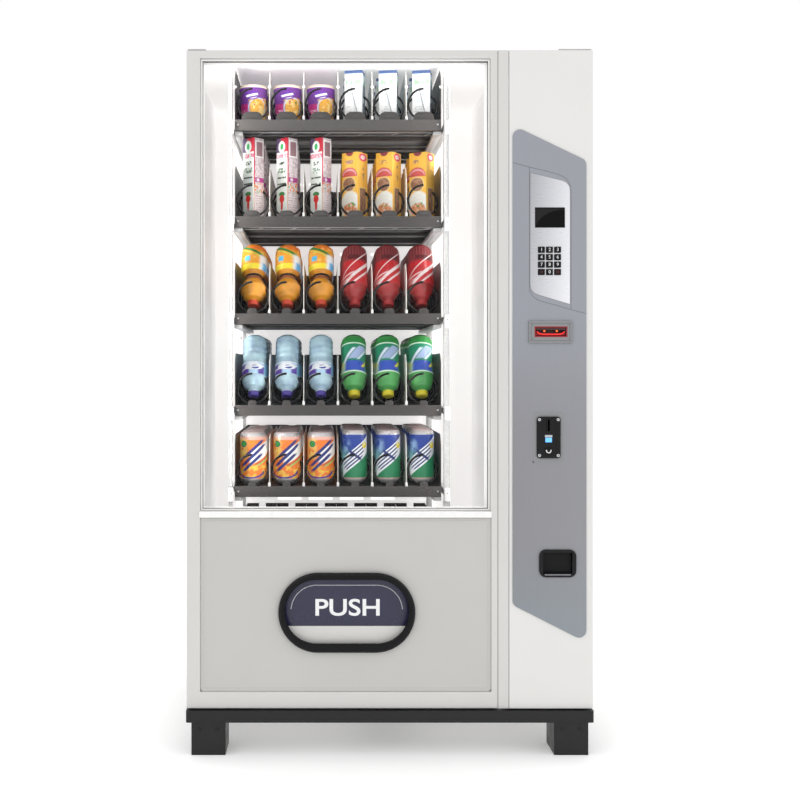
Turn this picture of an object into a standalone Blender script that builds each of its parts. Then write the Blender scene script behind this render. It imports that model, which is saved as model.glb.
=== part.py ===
"""Snack vending machine: steel cabinet on a black skid, glazed product door on the left with a push flap,
payment door on the right, six spiral trays inside.

Metres, +Z up. The origin is on the floor under the middle of the machine, and the front faces -Y.
"""

import math

import bmesh
import bpy

# Overall size
CABINET_WIDTH = 1.115
DEPTH = 0.800
HEIGHT = 1.940
FOOT_HEIGHT = 0.090
BASE_HEIGHT = 0.032
GAP = 0.0003  # between pieces that touch on the real machine

# Planes that most pieces refer to
SIDE = CABINET_WIDTH / 2
BASE_SIDE = SIDE + 0.001
BASE_TOP = FOOT_HEIGHT + BASE_HEIGHT - GAP
CABINET_BOTTOM = BASE_TOP + GAP
CABINET_TOP = HEIGHT - 0.007
CABINET_FRONT = -0.324
CABINET_BACK = 0.385
SHELL_WALL = 0.0015
DOOR_FACE = -0.388
DOOR_BACK = DOOR_FACE + 0.0555
DOOR_BOTTOM = BASE_TOP + 0.0038
DOOR_TOP = CABINET_TOP - 0.001
SEAM = 0.3273  # X of the gap between the two doors
SEAM_GAP = 0.0015

# Door hinges: vertical pins near the outer back edge of each door
HINGE_X = 0.5455
HINGE_Y = -0.346
PIN_RADIUS = 0.005
PIN_HOLE_RADIUS = 0.0054

# Insulated product compartment
LINER_WALL = 0.005
LINER_LEFT = -SIDE + SHELL_WALL + 0.0005
LINER_RIGHT = 0.3265
LINER_BACK = 0.362
LINER_BOTTOM = CABINET_BOTTOM + SHELL_WALL + 0.0005
LINER_TOP = CABINET_TOP - SHELL_WALL - 0.0005
DECK_TOP = 0.412
DECK_THICKNESS = 0.005
DECK_FRONT = -0.110

# Trays
TRAY_CENTRE_X = -0.1404
TRAY_WIDTH = 0.5913
TRAY_FRONT = -0.253
TRAY_BACK = 0.320
TRAY_BOTTOMS = (1.7410, 1.4642, 1.1860, 0.9232, 0.6904, 0.4300)
TRAY_SHEET = 0.0015
TRAY_FLOOR = 0.028  # height of the floor sheet above the tray's lowest edge
TRAY_SIDE_HEIGHT = 0.179
LIP_HEIGHT = 0.030
DIVIDER_HEIGHT = 0.177
COLUMNS = 6
COLUMN_PITCH = (TRAY_WIDTH - TRAY_SHEET) / COLUMNS
MOTOR_BOX_FRONT = 0.275
MOTOR_BOX_HEIGHT = 0.181

# Spirals, modelled one by one in the can tray
SPIRAL_TRAY = 5
SPIRAL_RADIUS = 0.0435
SPIRAL_WIRE = 0.0025
SPIRAL_PITCH = 0.0865
SPIRAL_TURNS = 5.75
POINTS_PER_TURN = 10
SPIRAL_FRONT = TRAY_FRONT + 0.008
SPIRAL_LIFT = 0.0015  # under the wire, above the tray floor

# Glazed door
DOOR_SHEET = 0.0025
WINDOW = (-0.520, 0.667, 0.277, 1.910)  # X low, Z low, X high, Z high
LOWER_OPENING = (-0.520, 0.171, 0.279, 0.648)
EDGE_PROFILE_LEFT = 0.2970
FRAME_RIGHT = EDGE_PROFILE_LEFT - 0.0005

# Pickup hatch in the lower panel
HATCH_X = -0.1177
HATCH_Z = 0.3888
HATCH_WIDTH = 0.376
HATCH_HEIGHT = 0.219
HATCH_INNER_WIDTH = 0.340
HATCH_INNER_TOP = 0.4787
HATCH_INNER_BOTTOM = 0.3047
FLAP_AXIS_Y = DOOR_FACE + 0.012
FLAP_AXIS_Z = 0.4925

# Payment door: fascia outline corners (X, Z) and device places
FASCIA_LEFT = 0.3369
FASCIA_RIGHT = 0.5391
FASCIA_CORNERS = (
    (FASCIA_LEFT, 1.7259), (FASCIA_LEFT, 0.4102),
    (FASCIA_RIGHT, 0.3077), (FASCIA_RIGHT, 1.6289),
)
KEYPAD_LEFT = 0.3851
KEYPAD_RIGHT = 0.4939
KEYPAD_CORNERS = (
    (KEYPAD_LEFT, 1.5953), (KEYPAD_LEFT, 1.2673),
    (KEYPAD_RIGHT, 1.2352), (KEYPAD_RIGHT, 1.5681),
)
DISPLAY = (0.4002, 1.4467, 0.4780, 1.4979)
KEY_GRID_X = 0.4377
KEY_GRID_Z = 1.3534
KEY_PITCH_X = 0.0222
KEY_PITCH_Z = 0.0204
KEY_WIDTH = 0.0182
KEY_HEIGHT = 0.0162
KEY_NAMES = ("1", "2", "3", "4", "5", "6", "7", "8", "9", "clear", "0", "enter")
BILL = (0.3807, 1.1281, 0.4994, 1.1883)
BILL_MOUTH = (0.3985, 1.1470, 0.4835, 1.1710)
COIN = (0.4026, 0.8130, 0.4673, 0.9261)
COIN_SLOT_X = 0.4344
REJECT_Z = 0.8330
CUP = (0.4089, 0.4866, 0.5106, 0.5625)

# Lock in the right side wall
LOCK_Y = -0.290
LOCK_Z = 1.050
LOCK_RADIUS = 0.0138


def clear_scene():
    for obj in list(bpy.data.objects):
        bpy.data.objects.remove(obj)


def new_collection(name):
    collection = bpy.data.collections.new(name)
    bpy.context.scene.collection.children.link(collection)
    return collection


def material(name, colour, roughness, metallic=0.0, alpha=1.0):
    made = bpy.data.materials.new(name)
    made.use_nodes = True
    shader = made.node_tree.nodes["Principled BSDF"]
    shader.inputs["Base Color"].default_value = (*colour, 1.0)
    shader.inputs["Roughness"].default_value = roughness
    shader.inputs["Metallic"].default_value = metallic
    shader.inputs["Alpha"].default_value = alpha
    return made


# ---------------------------------------------------------------- shapes


def place(obj, finish):
    """Puts the object in the machine's collection with its material."""
    PARTS.objects.link(obj)
    obj.data.materials.append(finish)
    return obj


def mesh_object(name, finish, build):
    """A mesh object whose bmesh is filled by build(bm)."""
    mesh = bpy.data.meshes.new(name)
    bm = bmesh.new()
    build(bm)
    bm.to_mesh(mesh)
    bm.free()
    return place(bpy.data.objects.new(name, mesh), finish)


def box(name, finish, low, high):
    size = [h - l for l, h in zip(low, high)]
    middle = [(h + l) / 2 for l, h in zip(low, high)]

    def build(bm):
        bmesh.ops.create_cube(bm, size=1.0)
        bmesh.ops.scale(bm, vec=size, verts=bm.verts)

    obj = mesh_object(name, finish, build)
    obj.location = middle
    return obj


def open_box(name, finish, low, high, open_sides, wall):
    """A sheet box with its walls inside low and high; open_sides are outward directions."""
    obj = box(name, finish, low, high)
    bm = bmesh.new()
    bm.from_mesh(obj.data)
    gone = [f for f in bm.faces if tuple(round(c) for c in f.normal) in open_sides]
    bmesh.ops.delete(bm, geom=gone, context="FACES")
    bm.to_mesh(obj.data)
    bm.free()
    solidify = obj.modifiers.new("sheet", "SOLIDIFY")
    solidify.thickness = wall
    solidify.offset = -1.0
    solidify.use_even_offset = True
    return obj


def cylinder(name, finish, centre, axis, radius, length, sides=16):
    """A closed cylinder whose axis is X, Y or Z."""
    turn = {"X": (0, math.pi / 2, 0), "Y": (math.pi / 2, 0, 0), "Z": (0, 0, 0)}[axis]

    def build(bm):
        bmesh.ops.create_cone(
            bm, cap_ends=True, segments=sides, radius1=radius, radius2=radius, depth=length
        )

    obj = mesh_object(name, finish, build)
    obj.location = centre
    obj.rotation_euler = turn
    return obj


def rectangle(x_low, y_low, x_high, y_high):
    return [(x_low, y_low), (x_high, y_low), (x_high, y_high), (x_low, y_high)]


def inset(corners, by):
    """A rectangle's corners moved inwards, or outwards when by is negative."""
    (x_low, y_low), (x_high, y_high) = corners[0], corners[2]
    return rectangle(x_low + by, y_low + by, x_high - by, y_high - by)


def rounded(corners, radii, steps=5):
    """The polygon with each corner replaced by an arc of its radius; 0 keeps it sharp."""
    points = []
    count = len(corners)
    for i, radius in enumerate(radii):
        here = corners[i]
        if radius == 0:
            points.append(here)
            continue
        ways = []
        for other in (corners[i - 1], corners[(i + 1) % count]):
            dx, dy = other[0] - here[0], other[1] - here[1]
            length = math.hypot(dx, dy)
            ways.append((dx / length, dy / length))
        (ax, ay), (bx, by) = ways
        half = math.acos(ax * bx + ay * by) / 2
        reach = radius / math.tan(half)
        mid = (ax + bx, ay + by)
        scale = radius / math.sin(half) / math.hypot(*mid)
        cx, cy = here[0] + mid[0] * scale, here[1] + mid[1] * scale
        start = math.atan2(here[1] + ay * reach - cy, here[0] + ax * reach - cx)
        end = math.atan2(here[1] + by * reach - cy, here[0] + bx * reach - cx)
        sweep = (end - start + math.pi) % (2 * math.pi) - math.pi
        for k in range(steps + 1):
            angle = start + sweep * k / steps
            points.append((cx + radius * math.cos(angle), cy + radius * math.sin(angle)))
    return points


def stadium(x, z, width, height, steps=10):
    """A slot shape: two half circles joined by straight sides."""
    corners = rectangle(x - width / 2, z - height / 2, x + width / 2, z + height / 2)
    return rounded(corners, [height / 2 * 0.999] * 4, steps)


def plate(name, finish, outlines, axis, low, high):
    """A flat piece from low to high along the axis. The first outline is its edge and the others are holes.

    Outlines are (X, Z) for axis Y, (X, Y) for axis Z and (Y, Z) for axis X.
    """
    curve = bpy.data.curves.new(name, "CURVE")
    curve.dimensions = "2D"
    curve.fill_mode = "BOTH"
    curve.extrude = (high - low) / 2
    for outline in outlines:
        spline = curve.splines.new("POLY")
        spline.points.add(len(outline) - 1)
        for point, (u, v) in zip(spline.points, outline):
            point.co = (u, v, 0, 1)
        spline.use_cyclic_u = True
    obj = place(bpy.data.objects.new(name, curve), finish)
    middle = (low + high) / 2
    if axis == "Y":
        obj.rotation_euler = (math.pi / 2, 0, 0)
        obj.location = (0, middle, 0)
    elif axis == "X":
        obj.rotation_euler = (math.pi / 2, 0, math.pi / 2)
        obj.location = (middle, 0, 0)
    else:
        obj.location = (0, 0, middle)
    return obj


def as_mesh(obj):
    """The curve object as a closed mesh object of the same name, ready to be cut or joined."""
    bpy.context.view_layer.update()
    graph = bpy.context.evaluated_depsgraph_get()
    mesh = bpy.data.meshes.new_from_object(obj.evaluated_get(graph), depsgraph=graph)
    bm = bmesh.new()
    bm.from_mesh(mesh)
    bmesh.ops.remove_doubles(bm, verts=bm.verts, dist=0.00001)
    bmesh.ops.recalc_face_normals(bm, faces=bm.faces)
    bm.to_mesh(mesh)
    bm.free()
    name, world = obj.name, obj.matrix_world.copy()
    bpy.data.objects.remove(obj)
    made = bpy.data.objects.new(name, mesh)
    PARTS.objects.link(made)
    made.matrix_world = world
    return made


def boolean(obj, tool, operation):
    """Adds a Boolean and moves its tool out of the machine's collection."""
    PARTS.objects.unlink(tool)
    CUTTERS.objects.link(tool)
    tool.hide_render = True
    tool.display_type = "WIRE"
    modifier = obj.modifiers.new(operation.lower(), "BOOLEAN")
    modifier.operation = operation
    modifier.object = tool


def join(obj, *tools):
    for tool in tools:
        boolean(obj, tool, "UNION")
    return obj


def cut(obj, *tools):
    for tool in tools:
        boolean(obj, tool, "DIFFERENCE")
    return obj


def empty(name, location, parent=None):
    """A pivot or slide guide that moving pieces are parented to."""
    obj = bpy.data.objects.new(name, None)
    PARTS.objects.link(obj)
    obj.location = location
    attach(obj, parent)
    return obj


def attach(obj, parent):
    """Parents obj without moving it."""
    if parent is None:
        return
    bpy.context.view_layer.update()
    obj.parent = parent
    obj.matrix_parent_inverse = parent.matrix_world.inverted()


# ---------------------------------------------------------------- skid and cabinet


def make_base():
    """The black skid: channels open below, a cross member, and the lower hinge pins of both doors."""
    rail, edge, wall = 0.060, 0.006, 0.004
    half_depth = DEPTH / 2
    inner_x, inner_y = BASE_SIDE - rail, half_depth - rail
    outline = rounded(rectangle(-BASE_SIDE, -half_depth, BASE_SIDE, half_depth), [edge] * 4, 2)
    frame = as_mesh(plate("base_frame", BLACK_STEEL, [outline], "Z", FOOT_HEIGHT, BASE_TOP))
    for side in (-1, 1):
        x_low, x_high = sorted((side * rail / 2, side * inner_x))
        cut(frame, box("bay", BLACK_STEEL, (x_low, -inner_y, 0.05), (x_high, inner_y, 0.20)))
        hollow_x = sorted((side * (inner_x + wall), side * (BASE_SIDE - wall)))
        end_hollow = box(
            "end_hollow", BLACK_STEEL,
            (hollow_x[0], -half_depth + wall, 0.05), (hollow_x[1], half_depth - wall, BASE_TOP - wall),
        )
        y_low, y_high = sorted((side * (inner_y + wall), side * (half_depth - wall)))
        long_hollow = box(
            "long_hollow", BLACK_STEEL,
            (-inner_x - 0.010, y_low, 0.05), (inner_x + 0.010, y_high, BASE_TOP - wall),
        )
        cut(frame, end_hollow, long_hollow)
    for x in (-HINGE_X, HINGE_X):
        pin = cylinder("lower_pin", BLACK_STEEL, (x, HINGE_Y, BASE_TOP + 0.009), "Z", PIN_RADIUS, 0.024)
        join(frame, pin)


def make_feet():
    """Four folded sheet feet under the corners, open towards the middle of the machine."""
    outer, width, inset, depth = 0.5435, 0.094, 0.004, 0.110
    for side, left in (("left", True), ("right", False)):
        x_low, x_high = (-outer, -outer + width) if left else (outer - width, outer)
        for end, front in (("front", True), ("rear", False)):
            y_outer = DEPTH / 2 - inset
            y_low, y_high = (-y_outer, -y_outer + depth) if front else (y_outer - depth, y_outer)
            open_side = (0, 1, 0) if front else (0, -1, 0)
            open_box(
                f"foot_{end}_{side}", BLACK_STEEL,
                (x_low, y_low, 0), (x_high, y_high, FOOT_HEIGHT - GAP), [open_side], 0.004,
            )


def make_shell():
    """The outer case: sides, top, floor and back, open to the front."""
    shell = open_box(
        "cabinet_shell", WHITE_STEEL,
        (-SIDE, CABINET_FRONT, CABINET_BOTTOM), (SIDE, CABINET_BACK, CABINET_TOP), [(0, -1, 0)], SHELL_WALL,
    )
    lock_hole = cylinder("lock_hole", WHITE_STEEL, (SIDE, LOCK_Y, LOCK_Z), "X", LOCK_RADIUS + 0.0006, 0.02)
    vent_hole = box("vent_hole", WHITE_STEEL, (-0.400, 0.378, 0.175), (0.200, 0.395, 0.365))
    inlet_hole = box("inlet_hole", WHITE_STEEL, (0.440, 0.378, 0.180), (0.480, 0.395, 0.210))
    cut(shell, lock_hole, vent_hole, inlet_hole)


def make_liner():
    """The white insulated compartment with its floor deck above the cooling unit."""
    liner = open_box(
        "insulated_liner", WHITE_PLASTIC,
        (LINER_LEFT, CABINET_FRONT + 0.0005, LINER_BOTTOM), (LINER_RIGHT, LINER_BACK, LINER_TOP),
        [(0, -1, 0)], LINER_WALL,
    )
    lap = LINER_WALL / 2
    deck = box(
        "deck", WHITE_PLASTIC,
        (LINER_LEFT + lap, DECK_FRONT, DECK_TOP - DECK_THICKNESS),
        (LINER_RIGHT - lap, LINER_BACK - lap, DECK_TOP),
    )
    join(liner, deck)
    cut(liner, box("air_way", WHITE_PLASTIC, (-0.400, 0.340, 0.175), (0.200, 0.370, 0.365)))


def make_delivery_bin():
    """The trough behind the push flap, open to the front and the top."""
    open_box(
        "delivery_bin", DARK_STEEL,
        (-0.345, -0.3225, 0.235), (0.110, DECK_FRONT - GAP, DECK_TOP - 0.0005),
        [(0, -1, 0), (0, 0, 1)], 0.002,
    )


def make_rail_racks():
    """A ladder of two uprights and six tray rails on each side of the trays."""
    front, back, bar = TRAY_FRONT, TRAY_BACK, 0.018
    low, high = DECK_TOP + GAP, LINER_TOP - LINER_WALL - GAP
    front_post, back_post = 0.020, 0.020
    levels = sorted(TRAY_BOTTOMS)
    holes = []
    bottom = low + 0.010
    for level in levels:
        rail_bottom = level + 0.004
        holes.append(rectangle(front + front_post, bottom, back - back_post, rail_bottom))
        bottom = rail_bottom + bar
    holes.append(rectangle(front + front_post, bottom, back - back_post, high - 0.010))
    outline = rectangle(front, low, back, high)
    plate("left_rail_rack", GREY_STEEL, [outline, *holes], "X", -0.4536, -0.4438)
    plate("right_rail_rack", GREY_STEEL, [outline, *holes], "X", 0.1631, 0.1803)


def make_cooling_unit():
    """Compressor, condenser block and fan shroud on one base plate, behind the delivery bin."""
    floor = LINER_BOTTOM + LINER_WALL + GAP
    unit = box("cooling_unit", BLACK_STEEL, (-0.430, -0.080, floor), (0.180, 0.330, floor + 0.004))
    compressor = cylinder(
        "compressor", BLACK_STEEL, (-0.300, 0.120, floor + 0.090), "Z", 0.078, 0.178, sides=24
    )
    rounding = compressor.modifiers.new("dome", "BEVEL")
    rounding.width = 0.035
    rounding.segments = 3
    condenser = box("condenser", BLACK_STEEL, (-0.130, 0.250, floor + 0.002), (0.160, 0.280, floor + 0.240))
    shroud = cylinder(
        "fan_shroud", BLACK_STEEL, (0.015, 0.222, floor + 0.120), "Y", 0.100, 0.060, sides=24
    )
    fan_centre = (0.015, 0.210, floor + 0.120)
    cut(shroud, cylinder("fan_hole", BLACK_STEEL, fan_centre, "Y", 0.094, 0.070, sides=24))
    join(unit, compressor, condenser, shroud)


def make_rear_fittings():
    """The vent grille and the mains inlet on the back."""
    edge = CABINET_BACK + GAP
    outline = rounded(rectangle(-0.420, 0.155, 0.220, 0.385), [0.008] * 4, 2)
    slots = []
    for column in range(2):
        x_low = -0.390 + column * 0.300
        for row in range(9):
            z_low = 0.182 + row * 0.021
            slots.append(rectangle(x_low, z_low, x_low + 0.280, z_low + 0.009))
    plate("rear_vent_grille", WHITE_STEEL, [outline, *slots], "Y", edge, edge + 0.004)
    open_box(
        "power_inlet", BLACK_PLASTIC, (0.430, edge, 0.170), (0.490, edge + 0.010, 0.220), [(0, 1, 0)], 0.004
    )


def make_light_strips():
    """A half-round lamp cover on each side wall, just behind the window."""
    depth, width, steps = 0.030, 0.018, 8
    low, high = 0.690, 1.905
    middle = CABINET_FRONT + 0.022

    def profile(wall_x, inward):
        points = []
        for k in range(steps + 1):
            angle = math.pi * k / steps
            points.append((wall_x + inward * width * math.sin(angle), middle + depth / 2 * math.cos(angle)))
        return points

    left_wall = LINER_LEFT + LINER_WALL + GAP
    right_wall = LINER_RIGHT - LINER_WALL - GAP
    plate("led_strip_left", LAMP, [profile(left_wall, 1)], "Z", low, high)
    plate("led_strip_right", LAMP, [profile(right_wall, -1)], "Z", low, high)


def make_top_hinges():
    """Upper hinge plates on the cabinet's top, with a pin down into each door."""
    bottom = CABINET_TOP + GAP
    for side, x_outer, x_inner in (("left", -0.5545, -0.5050), ("right", 0.5545, 0.4650)):
        low, high = sorted((x_outer, x_inner))
        hinge = box(f"top_hinge_{side}", WHITE_STEEL, (low, -0.384, bottom), (high, -0.250, bottom + 0.003))
        x = math.copysign(HINGE_X, x_outer)
        pin_low = DOOR_TOP - 0.016
        pin = cylinder(
            "upper_pin", WHITE_STEEL, (x, HINGE_Y, (pin_low + HEIGHT) / 2), "Z", PIN_RADIUS, HEIGHT - pin_low
        )
        join(hinge, pin)


def make_control_box():
    """The controller and power supply housing in the bay behind the payment door."""
    back = CABINET_BACK - SHELL_WALL - GAP
    open_box("control_box", GREY_STEEL, (0.345, 0.150, 0.950), (0.535, back, 1.400), [(0, 1, 0)], 0.002)


def make_lock():
    """A flush cam lock in the right side wall; its cam hangs inside."""
    lock = cylinder("door_lock", CHROME, (0.54315, LOCK_Y, LOCK_Z), "X", LOCK_RADIUS, 0.0303)
    lock.location.x = SIDE + 0.0008 - 0.0303 / 2
    inner = SIDE + 0.0008 - 0.0303
    cam_low = (inner - 0.003, LOCK_Y - 0.008, LOCK_Z - 0.045)
    cam = box("cam", CHROME, cam_low, (inner + 0.001, LOCK_Y + 0.008, LOCK_Z + 0.008))
    join(lock, cam)


# ---------------------------------------------------------------- trays and spirals


def make_tray(number, bottom):
    """A sheet tray with a front lip, five dividers and the motor box along its back."""
    left = TRAY_CENTRE_X - TRAY_WIDTH / 2
    right = TRAY_CENTRE_X + TRAY_WIDTH / 2
    underside = bottom + TRAY_FLOOR
    floor = underside + TRAY_SHEET
    top = bottom + TRAY_SIDE_HEIGHT
    comb = [
        (left, bottom), (left + TRAY_SHEET, bottom), (left + TRAY_SHEET, underside),
        (right - TRAY_SHEET, underside), (right - TRAY_SHEET, bottom), (right, bottom),
        (right, top), (right - TRAY_SHEET, top), (right - TRAY_SHEET, floor),
    ]
    for column in reversed(range(1, COLUMNS)):
        x = left + TRAY_SHEET / 2 + column * COLUMN_PITCH
        half = TRAY_SHEET / 2
        comb += [(x + half, floor), (x + half, bottom + DIVIDER_HEIGHT)]
        comb += [(x - half, bottom + DIVIDER_HEIGHT), (x - half, floor)]
    comb += [(left + TRAY_SHEET, floor), (left + TRAY_SHEET, top), (left, top)]
    front, back = TRAY_FRONT + 0.002, MOTOR_BOX_FRONT + 0.001
    tray = as_mesh(plate(f"tray_{number}", DARK_STEEL, [comb], "Y", front, back))
    lip = box(
        "lip", DARK_STEEL,
        (left - 0.0005, TRAY_FRONT, bottom - 0.0005),
        (right + 0.0005, TRAY_FRONT + 0.004, bottom + LIP_HEIGHT),
    )
    motors = open_box(
        "motor_box", DARK_STEEL,
        (left - 0.0005, MOTOR_BOX_FRONT, bottom - 0.0005),
        (right + 0.0005, TRAY_BACK, bottom + MOTOR_BOX_HEIGHT),
        [(0, 1, 0)], 0.002,
    )
    join(tray, lip, motors)
    slide = empty(f"tray_{number}_slide", (TRAY_CENTRE_X, TRAY_FRONT, bottom))
    attach(tray, slide)
    return slide


def spiral_centreline():
    """The wire's path about its axis, +Y to the back: a helix, a spoke and the drive shaft."""
    count = round(SPIRAL_TURNS * POINTS_PER_TURN)
    points = []
    for k in range(count + 1):
        turn = k / POINTS_PER_TURN
        angle = math.pi / 2 + 2 * math.pi * turn
        x, z = SPIRAL_RADIUS * math.cos(angle), SPIRAL_RADIUS * math.sin(angle)
        points.append((x, turn * SPIRAL_PITCH, z))
    end_x, end_y, end_z = points[-1]
    points.append((end_x * 0.12, end_y + 0.006, end_z * 0.12))
    points.append((0, end_y + 0.012, 0))
    points.append((0, MOTOR_BOX_FRONT - 0.0006 - SPIRAL_FRONT, 0))
    return points


def make_spirals(slide):
    """Six wire spirals side by side in the can tray, each turning about its own axis."""
    bottom = TRAY_BOTTOMS[SPIRAL_TRAY - 1]
    left = TRAY_CENTRE_X - TRAY_WIDTH / 2 + TRAY_SHEET / 2
    height = bottom + TRAY_FLOOR + TRAY_SHEET + SPIRAL_LIFT + SPIRAL_WIRE + SPIRAL_RADIUS
    path = spiral_centreline()
    for column in range(COLUMNS):
        curve = bpy.data.curves.new("spiral", "CURVE")
        curve.dimensions = "3D"
        curve.bevel_depth = SPIRAL_WIRE
        curve.bevel_resolution = 1
        curve.use_fill_caps = True
        spline = curve.splines.new("POLY")
        spline.points.add(len(path) - 1)
        for point, co in zip(spline.points, path):
            point.co = (*co, 1)
        spiral = place(bpy.data.objects.new(f"tray_{SPIRAL_TRAY}_spiral_{column + 1}", curve), BLACK_STEEL)
        spiral.location = (left + (column + 0.5) * COLUMN_PITCH, SPIRAL_FRONT, height)
        attach(spiral, slide)


# ---------------------------------------------------------------- glazed door


def make_door_frame(hinge):
    """The door frame around the window and the lower panel, folded from sheet and open at the back."""
    outline = rectangle(-SIDE, DOOR_BOTTOM, FRAME_RIGHT, DOOR_TOP)
    outlines = [outline, rectangle(*WINDOW), rectangle(*LOWER_OPENING)]
    frame = as_mesh(plate("door_frame", WHITE_STEEL, outlines, "Y", DOOR_FACE, DOOR_BACK))
    inside = [inset(outline, DOOR_SHEET), inset(outlines[1], -DOOR_SHEET), inset(outlines[2], -DOOR_SHEET)]
    channel = as_mesh(plate("channel", WHITE_STEEL, inside, "Y", DOOR_FACE + DOOR_SHEET, DOOR_BACK + 0.01))
    cut(frame, channel)
    for z in (DOOR_TOP - 0.008, DOOR_BOTTOM + 0.010):
        cut(frame, cylinder("pin_hole", WHITE_STEEL, (-HINGE_X, HINGE_Y, z), "Z", PIN_HOLE_RADIUS, 0.025))
    attach(frame, hinge)


def make_window(hinge):
    """The glass pane, set back in the frame."""
    x_low, z_low, x_high, z_high = WINDOW
    glass = box(
        "window_glass", GLASS,
        (x_low + GAP, DOOR_FACE + 0.014, z_low + GAP), (x_high - GAP, DOOR_FACE + 0.022, z_high - GAP),
    )
    attach(glass, hinge)


def make_door_inside(hinge):
    """The white inner panel of the door and the gasket around it."""
    back = DOOR_BACK + GAP
    window = rectangle(-0.5145, 0.672, 0.267, 1.905)
    hatch = rectangle(HATCH_X - 0.205, 0.262, HATCH_X + 0.205, 0.512)
    liner = plate(
        "door_liner", WHITE_PLASTIC, [rectangle(-0.535, 0.145, 0.305, 1.922), window, hatch],
        "Y", back, back + 0.004,
    )
    outer, width = (-0.532, 0.148, 0.302, 1.919), 0.012
    inner = (outer[0] + width, outer[1] + width, outer[2] - width, outer[3] - width)
    gasket_front = back + 0.004 + GAP
    gasket = plate(
        "door_gasket", GREY_RUBBER, [rectangle(*outer), rectangle(*inner)],
        "Y", gasket_front, CABINET_FRONT - GAP,
    )
    for obj in (liner, gasket):
        attach(obj, hinge)


def make_lower_panel(hinge):
    """The sunk panel under the window, with the hatch hole and the two ears of the flap's hinge."""
    x_low, z_low, x_high, z_high = LOWER_OPENING
    outline = rectangle(x_low + GAP, z_low + GAP, x_high - GAP, z_high - GAP)
    hole = stadium(HATCH_X, HATCH_Z + 0.002, 0.350, 0.188)
    face = DOOR_FACE + 0.004
    panel = as_mesh(plate("lower_panel", WHITE_STEEL, [outline, hole], "Y", face, face + 0.003))
    for x in (HATCH_X - 0.186, HATCH_X + 0.186):
        ear_high = (x + 0.003, FLAP_AXIS_Y + 0.007, 0.501)
        ear = box("ear", WHITE_STEEL, (x - 0.003, face + 0.002, 0.484), ear_high)
        join(panel, ear)
        cut(panel, cylinder("ear_hole", WHITE_STEEL, (x, FLAP_AXIS_Y, FLAP_AXIS_Z), "X", 0.0036, 0.010, 12))
    attach(panel, hinge)


def make_edge_profile(hinge):
    """The upright extrusion along the door's free edge, with a shadow groove and a finger pull behind."""
    left, right = EDGE_PROFILE_LEFT, SEAM - SEAM_GAP / 2
    front, back = DOOR_FACE, DOOR_BACK
    outer = [
        (left, back), (left, front + 0.003), (left + 0.003, front), (right, front),
        (right, front + 0.014), (right - 0.012, front + 0.022), (right - 0.012, back),
    ]
    inner = [
        (right - 0.014, back), (right - 0.014, front + 0.0207), (right - 0.002, front + 0.0127),
        (right - 0.002, front + 0.002), (left + 0.0038, front + 0.002), (left + 0.002, front + 0.0038),
        (left + 0.002, back),
    ]
    profile = plate("edge_profile", WHITE_STEEL, [outer + inner], "Z", DOOR_BOTTOM, DOOR_TOP)
    attach(profile, hinge)


def make_pickup_hatch(hinge):
    """The black hatch surround and the flap, which hangs from its top edge and swings inwards."""
    inner_z = (HATCH_INNER_TOP + HATCH_INNER_BOTTOM) / 2
    inner_height = HATCH_INNER_TOP - HATCH_INNER_BOTTOM
    bezel = plate(
        "pickup_bezel", BLACK_PLASTIC,
        [
            stadium(HATCH_X, HATCH_Z, HATCH_WIDTH, HATCH_HEIGHT),
            stadium(HATCH_X, inner_z, HATCH_INNER_WIDTH, inner_height),
        ],
        "Y", DOOR_FACE - 0.009, DOOR_FACE + 0.004 - GAP,
    )
    attach(bezel, hinge)
    pivot = empty("pickup_flap_pivot", (HATCH_X, FLAP_AXIS_Y, FLAP_AXIS_Z), hinge)
    half_width, bottom = 0.176, 0.2965
    outline = rounded(
        rectangle(HATCH_X - half_width, bottom, HATCH_X + half_width, FLAP_AXIS_Z),
        [0.080, 0.080, 0.020, 0.020],
    )
    front, back = FLAP_AXIS_Y - 0.002, FLAP_AXIS_Y + 0.002
    flap = as_mesh(plate("pickup_flap", BLUE_PLASTIC, [outline], "Y", front, back))
    barrel = cylinder("barrel", BLUE_PLASTIC, (HATCH_X, FLAP_AXIS_Y, FLAP_AXIS_Z), "X", 0.0045, 0.346, 12)
    pin = cylinder("pin", BLUE_PLASTIC, (HATCH_X, FLAP_AXIS_Y, FLAP_AXIS_Z), "X", 0.0030, 0.384, 12)
    join(flap, barrel, pin)
    attach(flap, pivot)


# ---------------------------------------------------------------- payment door


def make_payment_door(hinge):
    """The folded sheet door of the payment column, with cut-outs for its devices."""
    door = open_box(
        "payment_door", WHITE_STEEL,
        (SEAM + SEAM_GAP / 2, DOOR_FACE, DOOR_BOTTOM), (SIDE, DOOR_BACK, DOOR_TOP), [(0, 1, 0)], 0.0025,
    )
    for name, opening in device_openings().items():
        x_low, z_low, x_high, z_high = opening
        low, high = (x_low, DOOR_FACE - 0.01, z_low), (x_high, DOOR_FACE + 0.01, z_high)
        cut(door, box(name, WHITE_STEEL, low, high))
    for z in (DOOR_TOP, DOOR_BOTTOM):
        cut(door, cylinder("pin_hole", WHITE_STEEL, (HINGE_X, HINGE_Y, z), "Z", PIN_HOLE_RADIUS, 0.020))
    attach(door, hinge)


def device_openings():
    """X and Z extents of the holes behind each device."""
    return {
        "keypad_opening": (0.3950, 1.2850, 0.4840, 1.5450),
        "bill_opening": (0.3925, 1.1400, 0.4895, 1.1780),
        "coin_opening": (0.4060, 0.8165, 0.4640, 0.9225),
        "cup_opening": (0.4165, 0.4925, 0.5030, 0.5565),
    }


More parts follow.
